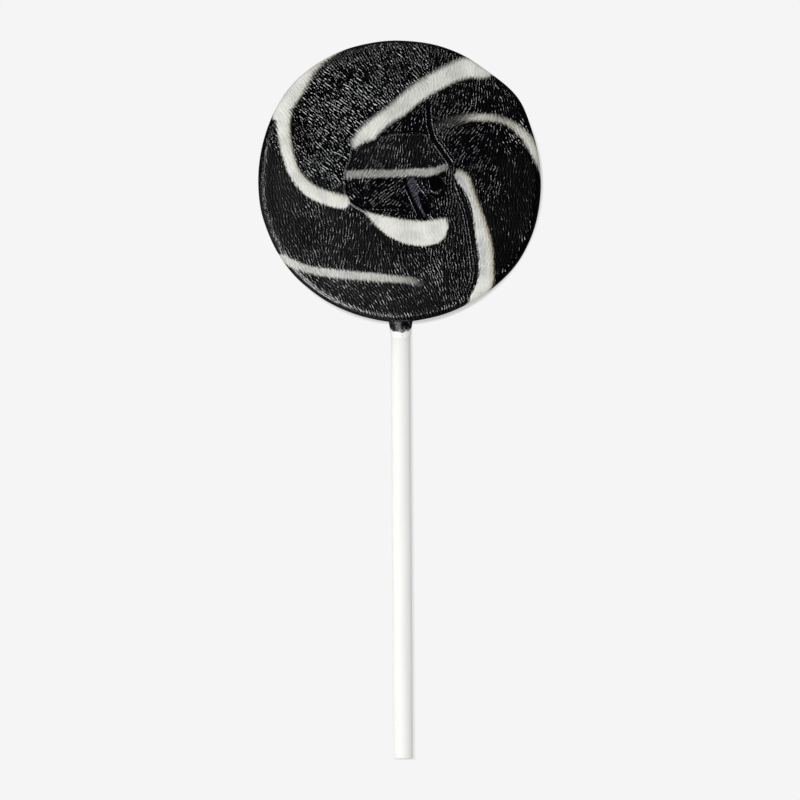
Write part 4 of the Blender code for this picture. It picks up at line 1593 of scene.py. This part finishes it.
@dataclass(frozen=True)
class Studio:
    """Pale glowing floor, soft light and a camera that looks straight down.

    A shadow is where its edge starts and ends in mm past the outline that throws it, and its
    darkness. The stick's shadow runs from one y in mm to another.
    """

    middle_height: float
    disc_radius: float
    stick_radius: float
    view_width: float = 184.6
    view_middle: Point = (-0.25, -50.5)
    lens: float = 900.0
    sensor: float = 36.0
    roll: float = -0.35
    floor_side: float = 6000.0
    floor_glow: float = 0.9131
    under_glow: float = 0.03
    shadow_glow: Colour = (0.08, 0.08, 0.085, 1.0)
    shadow_shift: Point = (0.48, -0.48)
    disc_shadow: tuple[float, float, float] = (-0.5, 0.35, 0.4)
    stick_shadow: tuple[float, float, float] = (-0.3, 0.25, 0.2)
    stick_shadow_ends: Point = (-133.6, -30.0)
    room_light: float = 0.50
    panels: tuple[Panel, ...] = (
        Panel("key", (-133.0, -158.0, 330.0), (150.0, 150.0), 0.70),
        Panel("left", (-206.0, 30.0, 330.0), (120.0, 28.0), 0.17),
        Panel("upper", (-127.0, 162.0, 330.0), (120.0, 80.0), 0.14),
        Panel("top", (-90.0, 330.0, 200.0), (160.0, 100.0), 0.25),
        Panel("low", (-222.0, -222.0, 95.0), (640.0, 170.0), 0.17),
        Panel("fill", (300.0, -90.0, 60.0), (150.0, 100.0), 0.14, (0.0, -80.0, 0.0), in_gloss=False),
        Panel("rim", (-250.0, 260.0, 40.0), (200.0, 120.0), 0.08, (0.0, 0.0, 5.0), in_gloss=False),
    )

    def _shadow(self, nodes: NodeTree) -> bpy.types.NodeSocket:
        """Draw the narrow shadow that lies right of the disc and the stick.

        It is the disc's circle and the stick's strip moved along, with soft outer edges.

        Args:
            nodes: The floor's nodes.

        Returns:
            The shadow's darkness from 0 to 1.
        """
        place = nodes.split(nodes.place())
        x = nodes.maths("SUBTRACT", place["X"], self.shadow_shift[0] * MM)
        y = nodes.maths("SUBTRACT", place["Y"], self.shadow_shift[1] * MM)
        reach = nodes.maths("SQRT", nodes.plus(nodes.maths("POWER", x, 2.0), nodes.maths("POWER", y, 2.0)))
        parts = []
        for distance, radius, (start, end, darkness) in (
            (reach, self.disc_radius, self.disc_shadow),
            (nodes.maths("ABSOLUTE", x), self.stick_radius, self.stick_shadow),
        ):
            parts.append(nodes.span(distance, (radius + start) * MM, (radius + end) * MM, darkness, 0.0))
        low, high = self.stick_shadow_ends
        strip = nodes.times(parts[1], nodes.maths("LESS_THAN", place["Y"], high * MM))
        strip = nodes.times(strip, nodes.maths("GREATER_THAN", place["Y"], low * MM))
        return nodes.maths("MAXIMUM", parts[0], strip)

    def build_floor(self) -> bpy.types.Object:
        """Lay a wide floor that glows evenly, with a narrow shadow beside the lollipop."""
        material, nodes, shader = new_material("pale_floor")
        lit = (self.floor_glow, self.floor_glow, self.floor_glow, 1.0)
        glow = nodes.blend(self._shadow(nodes), lit, self.shadow_glow)
        nodes.feed(shader, Base_Color=BLACK, Emission_Color=glow, Emission_Strength=1.0, Roughness=1.0,
                   Specular_IOR_Level=0.0)
        floor = self._plane("floor", material, 0.0)
        floor.visible_glossy = False
        return floor

    def build_under_glow(self) -> bpy.types.Object:
        """Lay a dim plane under the floor, which only shows mirrored in the rim."""
        material, nodes, shader = new_material("dim_glow")
        nodes.feed(shader, Base_Color=BLACK, Emission_Color=WHITE, Emission_Strength=self.under_glow)
        plane = self._plane("under_glow", material, -1.0)
        plane.visible_camera = False
        plane.visible_diffuse = False
        plane.visible_shadow = False
        return plane

    def _plane(self, name: str, material: bpy.types.Material, height: float) -> bpy.types.Object:
        """Lay a square plane of the studio at a height in mm."""
        half = self.floor_side / 2.0
        flat = ((-half, -half), (half, -half), (half, half), (-half, half))
        corners = np.array([(x, y, height) for x, y in flat])
        return make_mesh(name, material, corners, np.array([[0, 1, 2, 3]]))

    def build_lights(self) -> None:
        """Hang the panels and set the even light of the room."""
        for panel in self.panels:
            data = bpy.data.lights.new(panel.name, "AREA")
            data.shape = "RECTANGLE"
            data.size, data.size_y = (side * MM for side in panel.size)
            data.energy = panel.power
            light = new_object(panel.name, data)
            place = np.array(panel.place)
            aim(light, place, np.array(panel.target) - place)
            light.visible_glossy = panel.in_gloss
        world = bpy.data.worlds.new("room")
        world.use_nodes = True
        sky = world.node_tree.nodes["Background"]
        NodeTree(world.node_tree).feed(sky, Color=WHITE, Strength=self.room_light)
        world.cycles_visibility.glossy = False
        bpy.context.scene.world = world
        bpy.context.scene.view_settings.view_transform = "Standard"

    def build_camera(self) -> None:
        """Set the long-lens camera above the middle of the photograph's frame."""
        data = bpy.data.cameras.new("camera")
        data.lens = self.lens
        data.sensor_width = self.sensor
        distance = self.view_width * self.lens / self.sensor
        data.clip_start, data.clip_end = 0.1, 20.0
        camera = new_object("camera", data)
        x, y = self.view_middle
        camera.location = (x * MM, y * MM, (self.middle_height + distance) * MM)
        camera.rotation_euler = (0.0, 0.0, math.radians(self.roll))
        bpy.context.scene.camera = camera


def aim(obj: bpy.types.Object, place: np.ndarray, direction: np.ndarray) -> None:
    """Put an object at a place in mm, with its -Z along a direction."""
    x, y, z = unit(direction)
    obj.location = place * MM
    obj.rotation_euler = (math.acos(-z), 0.0, math.atan2(-x, y))


def corners_in_mm(node: str) -> tuple[np.ndarray, np.ndarray]:
    """Give a solid's lowest and highest corner in mm."""
    low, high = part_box(node)
    return np.array(low) / MM, np.array(high) / MM


def dress(piece: bpy.types.Object, slot: str, *nodes: str) -> None:
    """Let a piece ride with the lollipop and hide the solids it stands for."""
    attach(piece, "root")
    if nodes:
        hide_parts(*nodes)
    LOG.info("%s stands for %s", piece.name, ", ".join(nodes) or "nothing else")


def main() -> None:
    """Build the lollipop and its studio from the sizes of the solids."""
    logging.basicConfig(level=logging.INFO, format="%(message)s")
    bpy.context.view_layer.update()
    disc_low, disc_high = corners_in_mm("candy_body")
    stick_low, stick_high = corners_in_mm("stick")
    axis_height = float(stick_low[2] + stick_high[2]) / 2.0
    stick_radius = float(stick_high[2] - stick_low[2]) / 2.0

    grain, wrinkles, strands = grain_group(), wrinkle_group(), strand_group()
    shape = DiscShape(thickness=float(disc_high[2] - disc_low[2]))
    candy = CandyDisc(shape).build(CandyFinish().material(grain, wrinkles, strands))
    dress(candy, "black_candy", *[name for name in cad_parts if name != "stick"])
    collar = Collar(axis_height, stick_radius).build(CollarFinish().material(grain))
    dress(collar, "black_candy")
    stick = PaperStick(stick_radius, float(stick_high[1]), float(stick_low[1]), axis_height)
    dress(stick.build(PaperFinish().material(grain)), "stick_paper", "stick")

    studio = Studio(axis_height, shape.radius, stick_radius)
    studio.build_floor()
    studio.build_under_glow()
    studio.build_lights()
    studio.build_camera()


if __name__ == "__main__":
    main()
